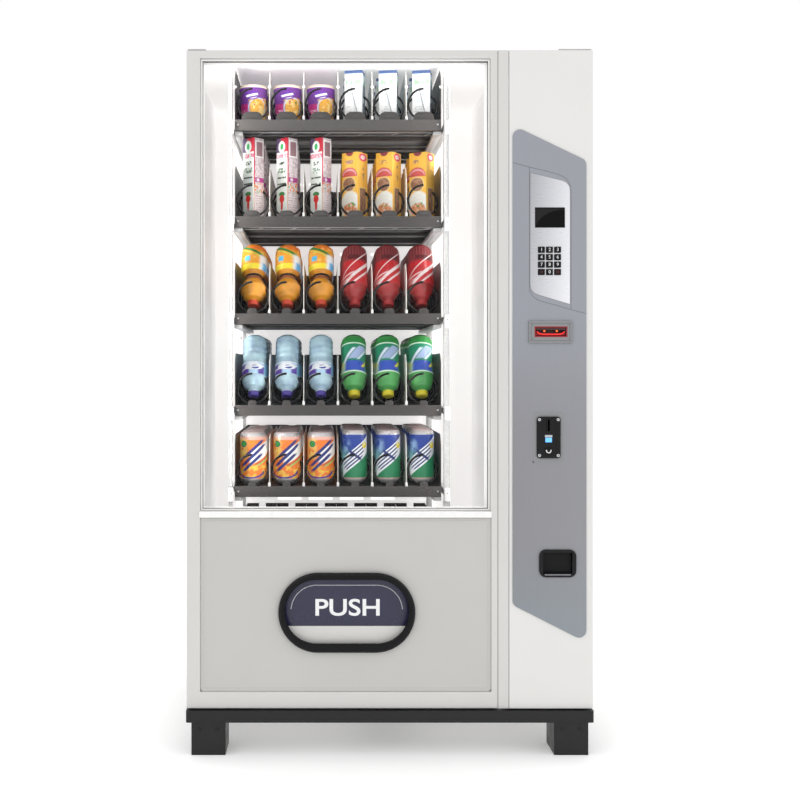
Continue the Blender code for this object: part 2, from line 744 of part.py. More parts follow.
def make_fascia(hinge):
    """The grey slanted fascia with the silver keypad panel let into it."""
    openings = device_openings()
    keypad_hole = rounded(
        [
            (KEYPAD_LEFT - 0.0006, 1.5959), (KEYPAD_LEFT - 0.0006, 1.2667),
            (KEYPAD_RIGHT + 0.0006, 1.2346), (KEYPAD_RIGHT + 0.0006, 1.5687),
        ],
        [0, 0.0275, 0, 0.0275],
    )
    holes = [rectangle(*openings[name]) for name in ("bill_opening", "coin_opening", "cup_opening")]
    outline = rounded(list(FASCIA_CORNERS), [0.020, 0.020, 0.020, 0.020])
    fascia = plate(
        "fascia_panel", GREY_PLASTIC, [outline, keypad_hole, *holes],
        "Y", DOOR_FACE - 0.0035, DOOR_FACE - GAP,
    )
    attach(fascia, hinge)


def key_centres():
    """The twelve keys' names and centres, row by row from the top left."""
    centres = []
    for index, name in enumerate(KEY_NAMES):
        row, column = divmod(index, 3)
        x = KEY_GRID_X + (column - 1) * KEY_PITCH_X
        z = KEY_GRID_Z + (1.5 - row) * KEY_PITCH_Z
        centres.append((name, x, z))
    return centres


def make_keypad(hinge):
    """The silver panel, the display window and the twelve keys that slide through it."""
    clearance = 0.0005
    holes = [
        rectangle(x - KEY_WIDTH / 2 - clearance, z - KEY_HEIGHT / 2 - clearance,
                  x + KEY_WIDTH / 2 + clearance, z + KEY_HEIGHT / 2 + clearance)
        for _, x, z in key_centres()
    ]
    x_low, z_low, x_high, z_high = DISPLAY
    holes.append(rectangle(x_low - GAP, z_low - GAP, x_high + GAP, z_high + GAP))
    outline = rounded(list(KEYPAD_CORNERS), [0, 0.027, 0, 0.027])
    panel = plate("keypad_panel", SILVER, [outline, *holes], "Y", DOOR_FACE - 0.0030, DOOR_FACE - GAP)
    display = box(
        "display_window", BLACK_GLOSS,
        (x_low, DOOR_FACE - 0.0025, z_low), (x_high, DOOR_FACE + 0.006, z_high),
    )
    for obj in (panel, display):
        attach(obj, hinge)
    for name, x, z in key_centres():
        key = box(
            f"key_{name}", BLACK_PLASTIC,
            (x - KEY_WIDTH / 2, DOOR_FACE - 0.0060, z - KEY_HEIGHT / 2),
            (x + KEY_WIDTH / 2, DOOR_FACE + 0.0040, z + KEY_HEIGHT / 2),
        )
        attach(key, hinge)


def make_bill_acceptor(hinge):
    """Bezel, mouth and validator body in one housing."""
    x_low, z_low, x_high, z_high = BILL
    front = DOOR_FACE - 0.0035 - GAP
    bezel = box("bill_acceptor", GREY_PLASTIC, (x_low, front - 0.0042, z_low), (x_high, front, z_high))
    neck = box("neck", GREY_PLASTIC, (0.3935, front - 0.001, 1.1410), (0.4885, DOOR_FACE + 0.006, 1.1770))
    body = box("body", GREY_PLASTIC, (0.3850, DOOR_FACE + 0.004, 1.1000), (0.4970, -0.2500, 1.3300 - 0.060))
    join(bezel, neck, body)
    mx_low, mz_low, mx_high, mz_high = BILL_MOUTH
    mouth_low = (mx_low, DOOR_FACE - 0.020, mz_low)
    cut(bezel, box("mouth", GREY_PLASTIC, mouth_low, (mx_high, DOOR_FACE + 0.024, mz_high)))
    attach(bezel, hinge)


def make_coin_acceptor(hinge):
    """Front plate with the coin slot, the validator behind it and the reject button."""
    x_low, z_low, x_high, z_high = COIN
    front = DOOR_FACE - 0.0035 - GAP
    outline = rounded(rectangle(x_low, z_low, x_high, z_high), [0.008] * 4, 3)
    plate_obj = as_mesh(plate("coin_acceptor", BLACK_PLASTIC, [outline], "Y", front - 0.0042, front))
    body = box("coin_body", BLACK_PLASTIC, (0.4070, front - 0.001, 0.8175), (0.4630, -0.3000, 0.9215))
    join(plate_obj, body)
    slot_low = (COIN_SLOT_X - 0.0014, -0.420, 0.888)
    slot = box("slot", BLACK_PLASTIC, slot_low, (COIN_SLOT_X + 0.0014, DOOR_FACE + 0.025, 0.917))
    well_centre = (COIN_SLOT_X, DOOR_FACE - 0.008, REJECT_Z)
    well = cylinder("well", BLACK_PLASTIC, well_centre, "Y", 0.0096, 0.024, 20)
    cut(plate_obj, slot, well)
    button = cylinder(
        "reject_button", BLACK_PLASTIC, (COIN_SLOT_X, DOOR_FACE - 0.00425, REJECT_Z), "Y", 0.0090, 0.0115, 20
    )
    for obj in (plate_obj, button):
        attach(obj, hinge)


def make_coin_return(hinge):
    """The coin cup's rim and pocket, and the small flap that hangs in it."""
    x_low, z_low, x_high, z_high = CUP
    front = DOOR_FACE - 0.0035 - GAP
    rim_width = 0.0085
    outline = rounded(rectangle(x_low, z_low, x_high, z_high), [0.018] * 4, 4)
    opening = rectangle(x_low + 0.0110, z_low + rim_width, x_high - 0.0110, z_high - rim_width)
    rim = as_mesh(plate("coin_return_cup", BLACK_PLASTIC, [outline, opening], "Y", front - 0.0042, front))
    pocket = open_box(
        "pocket", BLACK_PLASTIC, (0.4175, front - 0.001, 0.4935), (0.5020, DOOR_FACE + 0.066, 0.5555),
        [(0, -1, 0)], 0.0024,
    )
    join(rim, pocket)
    attach(rim, hinge)
    axis_y, axis_z = DOOR_FACE + 0.006, 0.5505
    pivot = empty("coin_return_flap_pivot", (0.45975, axis_y, axis_z), hinge)
    flap = box(
        "coin_return_flap", BLACK_PLASTIC,
        (0.4206, axis_y - 0.0015, 0.4968), (0.4989, axis_y + 0.0015, axis_z),
    )
    barrel = cylinder("coin_barrel", BLACK_PLASTIC, (0.45975, axis_y, axis_z), "X", 0.0022, 0.0770, 10)
    join(flap, barrel)
    attach(flap, pivot)


# ---------------------------------------------------------------- assembly

clear_scene()
PARTS = new_collection("snack_vending_machine")
CUTTERS = new_collection("cutters")

WHITE_STEEL = material("white_steel", (0.72, 0.71, 0.68), 0.35)
WHITE_PLASTIC = material("white_plastic", (0.85, 0.84, 0.83), 0.45)
BLACK_STEEL = material("black_steel", (0.012, 0.012, 0.012), 0.45)
DARK_STEEL = material("dark_steel", (0.085, 0.075, 0.073), 0.45)
GREY_STEEL = material("grey_steel", (0.55, 0.55, 0.55), 0.4)
BLACK_PLASTIC = material("black_plastic", (0.012, 0.012, 0.012), 0.35)
BLACK_GLOSS = material("black_gloss", (0.004, 0.004, 0.004), 0.08)
BLUE_PLASTIC = material("blue_plastic", (0.021, 0.022, 0.058), 0.3)
GREY_PLASTIC = material("grey_plastic", (0.36, 0.37, 0.40), 0.35)
SILVER = material("silver", (0.62, 0.62, 0.66), 0.3, 0.3)
GREY_RUBBER = material("grey_rubber", (0.30, 0.30, 0.30), 0.8)
CHROME = material("chrome", (0.75, 0.75, 0.76), 0.15, 1.0)
GLASS = material("glass", (0.92, 0.95, 0.95), 0.02, 0.0, 0.2)
LAMP = material("lamp", (0.95, 0.95, 0.93), 0.4)

make_base()
make_feet()
make_shell()
make_liner()
make_delivery_bin()
make_rail_racks()
make_cooling_unit()
make_rear_fittings()
make_light_strips()
make_top_hinges()
make_control_box()
make_lock()

for tray_number, tray_bottom in enumerate(TRAY_BOTTOMS, start=1):
    tray_slide = make_tray(tray_number, tray_bottom)
    if tray_number == SPIRAL_TRAY:
        make_spirals(tray_slide)

glass_hinge = empty("glass_door_hinge", (-HINGE_X, HINGE_Y, DOOR_BOTTOM))
make_door_frame(glass_hinge)
make_window(glass_hinge)
make_door_inside(glass_hinge)
make_lower_panel(glass_hinge)
make_edge_profile(glass_hinge)
make_pickup_hatch(glass_hinge)

payment_hinge = empty("payment_door_hinge", (HINGE_X, HINGE_Y, DOOR_BOTTOM))
make_payment_door(payment_hinge)
make_fascia(payment_hinge)
make_keypad(payment_hinge)
make_bill_acceptor(payment_hinge)
make_coin_acceptor(payment_hinge)
make_coin_return(payment_hinge)
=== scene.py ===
"""Looks of the snack vending machine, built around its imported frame."""

import math
import random

import bmesh
import bpy
from mathutils import Matrix, Vector


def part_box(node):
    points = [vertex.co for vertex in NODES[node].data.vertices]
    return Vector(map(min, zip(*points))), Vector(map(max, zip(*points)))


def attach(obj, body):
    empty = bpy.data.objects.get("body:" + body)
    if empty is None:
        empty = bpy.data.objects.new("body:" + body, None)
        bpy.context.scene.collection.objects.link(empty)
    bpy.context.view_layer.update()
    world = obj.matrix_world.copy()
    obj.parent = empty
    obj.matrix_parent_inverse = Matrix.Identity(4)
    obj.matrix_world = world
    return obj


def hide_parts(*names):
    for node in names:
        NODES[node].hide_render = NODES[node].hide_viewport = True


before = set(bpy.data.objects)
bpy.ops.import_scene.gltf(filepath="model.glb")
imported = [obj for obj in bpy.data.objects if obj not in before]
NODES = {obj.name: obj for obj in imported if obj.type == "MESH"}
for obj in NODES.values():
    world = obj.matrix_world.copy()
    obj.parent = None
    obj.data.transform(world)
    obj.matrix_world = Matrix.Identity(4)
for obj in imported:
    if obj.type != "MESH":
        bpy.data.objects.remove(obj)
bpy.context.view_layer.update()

# Planes of the machine, read from the frame
DOOR_LOW, DOOR_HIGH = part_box("door_frame")
FACE = DOOR_LOW.y
DOOR_BACK = DOOR_HIGH.y
PANEL_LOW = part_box("lower_panel")[0]
SHELL_LOW, SHELL_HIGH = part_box("cabinet_shell")
LINER_LOW, LINER_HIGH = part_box("insulated_liner")
FASCIA_LOW, FASCIA_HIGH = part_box("fascia_panel")

# Trays. Sizes as in part.py, apart from the spirals: see SPIRAL_WIRE and spiral_mesh
TRAYS = 6
COLUMNS = 6
TRAY_SHEET = 0.0015
TRAY_FLOOR = 0.028
TRAY_SIDE_HEIGHT = 0.179
DIVIDER_HEIGHT = 0.177
LIP_HEIGHT = 0.030
MOTOR_BOX_FRONT = 0.275
SPIRAL_TRAY = 5
SPIRAL_RADIUS = 0.0435
SPIRAL_WIRE = 0.0032  # radius of the visible wire, thicker than the CAD wire of 0.0025
SPIRAL_PITCH = 0.0865
SPIRAL_TURNS = 5.75
SPIRAL_SETBACK = 0.008
STAND = TRAY_FLOOR + 0.0085  # height at which the stock stands, on the wires


# ---------------------------------------------------------------- materials


class Graph:
    """Short calls for one material's nodes. Keyword arguments set sockets of its Principled shader."""

    def __init__(self, name, **sockets):
        self.material = bpy.data.materials.new(name)
        self.material.use_nodes = True
        tree = self.material.node_tree
        self.nodes, self.links = tree.nodes, tree.links
        self.shader = tree.nodes["Principled BSDF"]
        for socket, value in sockets.items():
            self.set(socket, value)

    def put(self, socket, value):
        if isinstance(value, bpy.types.NodeSocket):
            self.links.new(value, socket)
        elif socket.type == "RGBA":
            socket.default_value = (*value, 1.0)
        else:
            socket.default_value = value

    def set(self, name, value):
        self.put(self.shader.inputs[name.replace("_", " ")], value)

    def node(self, kind, **settings):
        made = self.nodes.new("ShaderNode" + kind)
        for key, value in settings.items():
            setattr(made, key, value)
        return made

    def place(self, stretch=(1, 1, 1)):
        """The surface point in metres, with its axes stretched."""
        point = self.node("TexCoord").outputs["Object"]
        if stretch == (1, 1, 1):
            return point
        mapping = self.node("Mapping")
        self.put(mapping.inputs["Vector"], point)
        mapping.inputs["Scale"].default_value = stretch
        return mapping.outputs[0]

    def axes(self, vector):
        return self.node_with("SeparateXYZ", vector).outputs

    def node_with(self, kind, value):
        made = self.node(kind)
        self.put(made.inputs[0], value)
        return made

    def uv(self):
        return self.axes(self.node("TexCoord").outputs["UV"])[:2]

    def math(self, operation, first, second=0.0, clamp=False):
        made = self.node("Math", operation=operation, use_clamp=clamp)
        self.put(made.inputs[0], first)
        self.put(made.inputs[1], second)
        return made.outputs[0]

    def noise(self, scale, detail=2.0, vector=None, roughness=0.5):
        made = self.node("TexNoise")
        self.put(made.inputs["Vector"], vector or self.place())
        made.inputs["Scale"].default_value = scale
        made.inputs["Detail"].default_value = detail
        made.inputs["Roughness"].default_value = roughness
        return made.outputs["Fac"]

    def cells(self, scale, vector=None, feature="F1"):
        made = self.node("TexVoronoi", feature=feature)
        self.put(made.inputs["Vector"], vector or self.place())
        made.inputs["Scale"].default_value = scale
        return made.outputs["Distance"]

    def span(self, value, low, high, to_low=0.0, to_high=1.0, smooth=True):
        made = self.node("MapRange", interpolation_type="SMOOTHSTEP" if smooth else "LINEAR")
        for socket, entry in zip(made.inputs, (value, low, high, to_low, to_high)):
            self.put(socket, entry)
        return made.outputs[0]

    def mix(self, factor, first, second):
        made = self.node("Mix", data_type="RGBA")
        self.put(made.inputs[0], factor)
        self.put(made.inputs[6], first)
        self.put(made.inputs[7], second)
        return made.outputs[2]

    def band(self, value, low, high, soft=0.01):
        """1 where value lies between low and high."""
        rise = self.span(value, low - soft, low + soft)
        fall = self.span(value, high - soft, high + soft, 1.0, 0.0)
        return self.math("MULTIPLY", rise, fall)

    def disc(self, u, v, centre, radii, soft=0.08):
        """1 inside an ellipse."""
        across = self.math("DIVIDE", self.math("SUBTRACT", u, centre[0]), radii[0])
        along = self.math("DIVIDE", self.math("SUBTRACT", v, centre[1]), radii[1])
        reach = self.math("SQRT", self.math("ADD", self.math("MULTIPLY", across, across),
                                            self.math("MULTIPLY", along, along)))
        return self.span(reach, 1 - soft, 1 + soft, 1.0, 0.0)

    def both(self, *masks):
        out = masks[0]
        for mask in masks[1:]:
            out = self.math("MULTIPLY", out, mask)
        return out

    def layers(self, base, *coats):
        """Colours laid over base, each through its mask."""
        for mask, colour in coats:
            base = self.mix(mask, base, colour)
        return base

    def relief(self, height, strength, distance):
        made = self.node("Bump")
        made.inputs["Strength"].default_value = strength
        made.inputs["Distance"].default_value = distance
        self.put(made.inputs["Height"], height)
        self.set("Normal", made.outputs[0])


def shade(colour, factor):
    return tuple(min(1.0, part * factor) for part in colour)


def painted(name, colour, roughness=0.38, mottle=0.035, grain=900.0, depth=0.00012, wear=0.0, **sockets):
    """Powder coat or moulded plastic: faint mottling, uneven gloss and a fine orange-peel skin."""
    graph = Graph(name, **sockets)
    cloud = graph.noise(5.0, 4.0)
    speck = graph.noise(grain, 2.0)
    colour_out = graph.mix(cloud, shade(colour, 1 - mottle), shade(colour, 1 + mottle))
    colour_out = graph.mix(graph.span(speck, 0.3, 0.7, 0.0, 0.25), colour_out, shade(colour, 1 - 2 * mottle))
    if wear:
        scuff = graph.span(graph.noise(38.0, 6.0, roughness=0.7), 0.58, 0.74, 0.0, wear)
        colour_out = graph.mix(scuff, colour_out, shade(colour, 1.6))
    graph.set("Base_Color", colour_out)
    graph.set("Roughness", graph.span(graph.noise(26.0, 3.0), 0.3, 0.7, roughness - 0.06, roughness + 0.07))
    graph.relief(speck, 0.35, depth)
    return graph.material


def metal(name, colour, roughness, stretch=(1, 1, 1), grain=400.0, spread=0.10, depth=0.0001):
    """Bare or plated metal with a grain, drawn out along an axis by a small stretch there."""
    graph = Graph(name, Metallic=1.0)
    grit = graph.noise(grain, 3.0, graph.place(stretch))
    graph.set("Base_Color", graph.mix(grit, shade(colour, 1 - spread), shade(colour, 1 + spread)))
    graph.set("Roughness", graph.span(grit, 0.25, 0.75, roughness - 0.07, roughness + 0.1))
    graph.relief(grit, 0.25, depth)
    return graph.material


def galvanised(name, colour):
    """Zinc-coated sheet: small grey spangles under a dull gloss."""
    graph = Graph(name, Metallic=0.35)
    spangle = graph.cells(260.0)
    fine = graph.noise(700.0, 3.0)
    colour_out = graph.mix(graph.span(spangle, 0.1, 0.7), shade(colour, 0.86), shade(colour, 1.1))
    colour_out = graph.mix(graph.span(fine, 0.45, 0.62, 0.0, 0.5), colour_out, shade(colour, 0.72))
    graph.set("Base_Color", colour_out)
    graph.set("Roughness", graph.span(fine, 0.3, 0.7, 0.36, 0.52))
    graph.relief(spangle, 0.2, 0.0001)
    return graph.material


def glowing(name, colour, strength):
    """A lamp cover: frosted, with a slow change of brightness along it."""
    graph = Graph(name, Base_Color=colour, Roughness=0.5, Emission_Strength=strength)
    ripple = graph.noise(14.0, 2.0)
    graph.set("Emission_Color", graph.mix(ripple, shade(colour, 0.93), colour))
    graph.relief(graph.noise(800.0), 0.2, 0.0001)
    return graph.material


def window_glass():
    graph = Graph("window_glass", Base_Color=(0.93, 0.97, 0.96), Alpha=0.006, IOR=1.45)
    graph.set("Roughness", graph.span(graph.noise(9.0, 4.0), 0.4, 0.7, 0.015, 0.05))
    return graph.material


def fascia_finish():
    """Blue-grey satin sheet, a little lighter low down, with a painted sheen that lightens it towards the
    right, and fine upright grain.
    """
    graph = Graph("fascia_grey", Metallic=0.12)
    x, _, z = graph.axes(graph.place())
    fade = graph.span(z, FASCIA_LOW.z, FASCIA_HIGH.z, 1.0, 0.0, smooth=False)
    across = graph.span(x, FASCIA_LOW.x, FASCIA_HIGH.x, 0.0, 1.0, smooth=False)
    grain = graph.noise(300.0, 3.0, graph.place((1, 1, 0.02)))
    colour = graph.mix(graph.span(fade, 0.35, 0.62), (0.293, 0.305, 0.344), (0.247, 0.244, 0.264))
    colour = graph.mix(graph.span(fade, 0.80, 1.0), colour, (0.229, 0.262, 0.285))
    # Painted sheen: up to 30% lighter towards the right edge.
    colour = graph.mix(graph.math("MULTIPLY", across, 0.3), colour, (0.30, 0.31, 0.335))
    colour = graph.mix(graph.span(grain, 0.3, 0.7, 0.0, 0.05), colour, (0.20, 0.21, 0.23))
    graph.set("Base_Color", colour)
    graph.set("Roughness", graph.span(grain, 0.3, 0.7, 0.34, 0.44))
    graph.relief(graph.noise(900.0), 0.2, 0.00008)
    return graph.material


def keypad_finish():
    """Brushed silver panel with a painted sheen that makes it brighter on the right and a little brighter low
    down.
    """
    graph = Graph("keypad_silver", Metallic=0.25)
    low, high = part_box("keypad_panel")
    x, _, z = graph.axes(graph.place())
    # Painted sheen: dark grey at the top left running to bright silver at the lower right.
    painted_sheen = graph.math("ADD", graph.span(x, low.x, high.x, 0.0, 0.75, smooth=False),
                       graph.span(z, low.z, high.z, 0.25, 0.0, smooth=False))
    grain = graph.noise(420.0, 3.0, graph.place((0.05, 1, 1)))
    colour = graph.mix(painted_sheen, (0.38, 0.385, 0.41), (0.84, 0.84, 0.88))
    colour = graph.mix(graph.span(grain, 0.3, 0.7, 0.0, 0.06), colour, (0.42, 0.43, 0.46))
    graph.set("Base_Color", colour)
    graph.set("Roughness", graph.span(grain, 0.3, 0.7, 0.26, 0.4))
    graph.relief(grain, 0.15, 0.00006)
    return graph.material


def display_finish():
    """Dark tinted window over an unlit panel of small square dots, with a painted reflection that lightens it
    outside an ellipse at the lower right.
    """
    graph = Graph("display", Roughness=0.08, Specular_IOR_Level=0.12)
    x, _, z = graph.axes(graph.place())
    dots = graph.both(*(graph.span(graph.math("PINGPONG", axis, 0.0009), 0.0002, 0.0004) for axis in (x, z)))
    low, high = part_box("display_window")
    # Painted reflection: outside this ellipse, towards the top left, the glass is painted lighter.
    painted_reflection_cutout = graph.disc(x, z, (high.x + 0.005, low.z - 0.008), (0.084, 0.056), 0.03)
    colour = graph.mix(graph.math("MULTIPLY", dots, 0.5), (0.001, 0.001, 0.001), (0.004, 0.004, 0.005))
    graph.set("Base_Color", graph.mix(painted_reflection_cutout, (0.016, 0.016, 0.016), colour))
    return graph.material


WHITE_STEEL = painted("white_steel", (0.625, 0.618, 0.600), 0.34)
# A lighter copy of the white steel for the cabinet's sides and top and the payment door: painted light.
WHITE_STEEL_PAINTED_LIGHTER = painted("white_steel_painted_lighter", (0.725, 0.718, 0.702), 0.36)
# A darker copy of the white steel for the sunk lower panel: painted shade.
WHITE_STEEL_PAINTED_SHADE = painted("white_steel_painted_shade", (0.520, 0.515, 0.495), 0.42)
# A lighter copy of the white steel for the bar under the window: a painted highlight on the sill.
SILL_PAINTED_HIGHLIGHT = painted("sill_painted_highlight", (0.88, 0.88, 0.87), 0.28)
# The liner glows faintly though it is no lamp: painted light that brightens the inside of the cabinet, the
# door's inner liner and the duct's rim.
LINER_WHITE_PAINTED_GLOW = painted(
    "liner_white_painted_glow", (0.84, 0.83, 0.825), 0.42, Emission_Color=(1.0, 0.985, 0.98), Emission_Strength=0.30
)
# The air duct's panel glows though it is no lamp: painted light that brightens the back wall and lights the
# trays and stock from behind.
DUCT_PAINTED_GLOW = painted(
    "duct_painted_glow", (0.80, 0.79, 0.785), 0.5, Emission_Color=(1.0, 0.975, 0.97), Emission_Strength=0.62
)
TRIM_WHITE = painted("trim_white", (0.82, 0.81, 0.80), 0.4)
BLACK_STEEL = painted(
    "black_steel", (0.0125, 0.0125, 0.0130), 0.36, mottle=0.12, wear=0.05, Specular_IOR_Level=0.3
)
BLACK_PLASTIC = painted("black_plastic", (0.006, 0.006, 0.007), 0.26, mottle=0.1, Specular_IOR_Level=0.22)
BLACK_WIRE = painted("black_wire", (0.006, 0.006, 0.007), 0.22, mottle=0.1, Specular_IOR_Level=0.25)
SATIN_BLACK = painted("satin_black", (0.006, 0.006, 0.007), 0.42, mottle=0.1, Specular_IOR_Level=0.15)
TRAY_GREY = painted("tray_grey", (0.046, 0.041, 0.0395), 0.36, mottle=0.06, grain=1200.0)
TRAY_SHADE = painted("tray_underside", (0.062, 0.057, 0.055), 0.45, mottle=0.06)
DIVIDER_WHITE = painted("divider_white", (0.80, 0.78, 0.73), 0.4)
RUBBER = painted("gasket_rubber", (0.24, 0.24, 0.25), 0.75, grain=500.0)
FLAP_BLUE = painted("flap_blue", (0.0205, 0.0212, 0.0560), 0.30, mottle=0.08)
FLAP_PALE = painted("flap_pale", (0.640, 0.632, 0.610), 0.36)
INK_WHITE = painted("ink_white", (0.84, 0.84, 0.85), 0.45)
INK_RED = painted("ink_red", (0.10, 0.012, 0.012), 0.4)
DARK_GROOVE = painted("dark_groove", (0.10, 0.10, 0.105), 0.6)
GREY_BEZEL = painted("grey_bezel", (0.245, 0.248, 0.258), 0.36)
FINE_LINE = painted("fine_line", (0.13, 0.13, 0.14), 0.5)
PALE_GREY = painted("pale_grey", (0.47, 0.48, 0.50), 0.4)
CREAM_STRIP = painted("cream_strip", (0.62, 0.40, 0.19), 0.5, mottle=0.25)
# Dark maroon for the inside of the bill mouth: painted shade tinted with painted red light.
MOUTH_PAINTED_RED_SHADE = painted("mouth_painted_red_shade", (0.055, 0.006, 0.007), 0.35, mottle=0.15)
# Dark grey for the filter behind the rear vent; in screw recesses and the lock's key slot it is painted
# shade.
DARK_FILTER_AND_RECESS_SHADE = painted("dark_filter_and_recess_shade", (0.05, 0.05, 0.052), 0.6)
ORANGE_PLASTIC = painted("orange_plastic", (0.72, 0.20, 0.03), 0.4)
CHROME = metal("lock_chrome", (0.80, 0.80, 0.82), 0.12, spread=0.03)
STEEL = metal("screw_steel", (0.62, 0.62, 0.63), 0.28)
BRUSHED = metal("brushed_grey", (0.36, 0.37, 0.39), 0.34, (0.05, 1, 1))
COPPER = metal("copper_pipe", (0.74, 0.38, 0.24), 0.25)
ALUMINIUM = metal("fin_aluminium", (0.70, 0.71, 0.72), 0.35)
ZINC = galvanised("galvanised", (0.60, 0.60, 0.60))
# A darker copy of the galvanised sheet, used on the hinges and, as painted shade, on the left rack's front
# cover.
ZINC_DARK = galvanised("galvanised_front", (0.50, 0.49, 0.485))
RED_GLOW = glowing("red_glow", (0.75, 0.020, 0.018), 0.60)
RED_DIM = glowing("red_dim", (0.22, 0.006, 0.010), 0.35)
ORANGE_GLOW = glowing("orange_glow", (1.0, 0.16, 0.03), 0.8)
BLUE_GLOW = glowing("blue_glow", (0.12, 0.40, 0.90), 0.75)
LAMP = glowing("lamp", (1.0, 0.985, 0.96), 2.4)
GLASS = window_glass()
FASCIA_GREY = fascia_finish()
SILVER = keypad_finish()
DISPLAY = display_finish()


# ---------------------------------------------------------------- shapes


def to_mesh(bm):
    mesh = bpy.data.meshes.new("shape")
    bm.to_mesh(mesh)
    bm.free()
    return mesh


def box(low, high, bevel=0.0, segments=2):
    bm = bmesh.new()
    low, high = Vector(low), Vector(high)
    bmesh.ops.create_cube(bm, size=1.0)
    bmesh.ops.scale(bm, vec=high - low, verts=bm.verts)
    bmesh.ops.translate(bm, vec=(low + high) / 2, verts=bm.verts)
    if bevel:
        bmesh.ops.bevel(bm, geom=bm.edges[:], offset=bevel, segments=segments, profile=0.5,
                        affect="EDGES", clamp_overlap=True)
    return to_mesh(bm)


def rectangle(x_low, y_low, x_high, y_high):
    return [(x_low, y_low), (x_high, y_low), (x_high, y_high), (x_low, y_high)]


def rounded(corners, radii, steps=6):
    """The polygon with each corner replaced by an arc of its radius."""
    if not isinstance(radii, (list, tuple)):
        radii = [radii] * len(corners)
    points = []
    for i, radius in enumerate(radii):
        here = Vector(corners[i])
        if radius == 0:
            points.append(tuple(here))
            continue
        back = (Vector(corners[i - 1]) - here).normalized()
        onward = (Vector(corners[(i + 1) % len(corners)]) - here).normalized()
        half = back.angle(onward) / 2
        centre = here + (back + onward).normalized() * radius / math.sin(half)
        reach = radius / math.tan(half)
        start, end = here + back * reach - centre, here + onward * reach - centre
        first = math.atan2(start.y, start.x)
        sweep = (math.atan2(end.y, end.x) - first + math.pi) % (2 * math.pi) - math.pi
        for k in range(steps + 1):
            angle = first + sweep * k / steps
            points.append((centre.x + radius * math.cos(angle), centre.y + radius * math.sin(angle)))
    return points


def stadium(x, z, width, height, steps=14):
    return rounded(
        rectangle(x - width / 2, z - height / 2, x + width / 2, z + height / 2), height * 0.4995, steps
    )


def from_curve(curve, matrix=Matrix()):
    holder = bpy.data.objects.new("holder", curve)
    bpy.context.scene.collection.objects.link(holder)
    bpy.context.view_layer.update()
    graph = bpy.context.evaluated_depsgraph_get()
    mesh = bpy.data.meshes.new_from_object(holder.evaluated_get(graph), depsgraph=graph)
    bpy.data.objects.remove(holder)
    bpy.data.curves.remove(curve)
    bm = bmesh.new()
    bm.from_mesh(mesh)
    bpy.data.meshes.remove(mesh)
    bmesh.ops.remove_doubles(bm, verts=bm.verts, dist=0.000004)
    bm.transform(matrix)
    bmesh.ops.recalc_face_normals(bm, faces=bm.faces)
    return to_mesh(bm)


AXIS_TURN = {
    "X": Matrix(((0, 0, 1, 0), (1, 0, 0, 0), (0, 1, 0, 0), (0, 0, 0, 1))),
    "Y": Matrix(((1, 0, 0, 0), (0, 0, 1, 0), (0, 1, 0, 0), (0, 0, 0, 1))),
    "Z": Matrix(),
}


def panel(outlines, axis, low, high, bevel=0.0, segments=3):
    """A flat piece from low to high along the axis with rounded edges. Later outlines are holes."""
    curve = bpy.data.curves.new("outline", "CURVE")
    curve.dimensions = "2D"
    curve.fill_mode = "BOTH"
    curve.extrude = (high - low) / 2 - bevel
    curve.bevel_depth = bevel
    curve.bevel_resolution = segments - 1
    curve.offset = -bevel
    for outline in outlines:
        spline = curve.splines.new("POLY")
        spline.points.add(len(outline) - 1)
        for point, (u, v) in zip(spline.points, outline):
            point.co = (u, v, 0, 1)
        spline.use_cyclic_u = True
    return from_curve(curve, AXIS_TURN[axis] @ Matrix.Translation((0, 0, (low + high) / 2)))


def wire(points, radius, resolution=2, cyclic=False):
    """A round wire along points, with closed ends."""
    curve = bpy.data.curves.new("wire", "CURVE")
    curve.dimensions = "3D"
    curve.bevel_depth = radius
    curve.bevel_resolution = resolution
    curve.use_fill_caps = True
    spline = curve.splines.new("POLY")
    spline.points.add(len(points) - 1)
    for point, co in zip(spline.points, points):
        point.co = (*co, 1)
    spline.use_cyclic_u = cyclic
    return from_curve(curve)


def lettering(text, size, depth, weight=0.0):
    """Raised figures in the XZ plane facing -Y, centred on the origin."""
    curve = bpy.data.curves.new("lettering", "FONT")
    curve.body = text
    curve.size = size
    curve.extrude = depth / 2
    curve.offset = weight
    curve.align_x, curve.align_y = "CENTER", "CENTER"
    return from_curve(curve, Matrix.Rotation(math.pi / 2, 4, "X"))


def coat(finish, *points):
    """Rows of a lathe profile that share one material, from (radius, height) points."""
    return [(radius, height, finish) for radius, height in points]


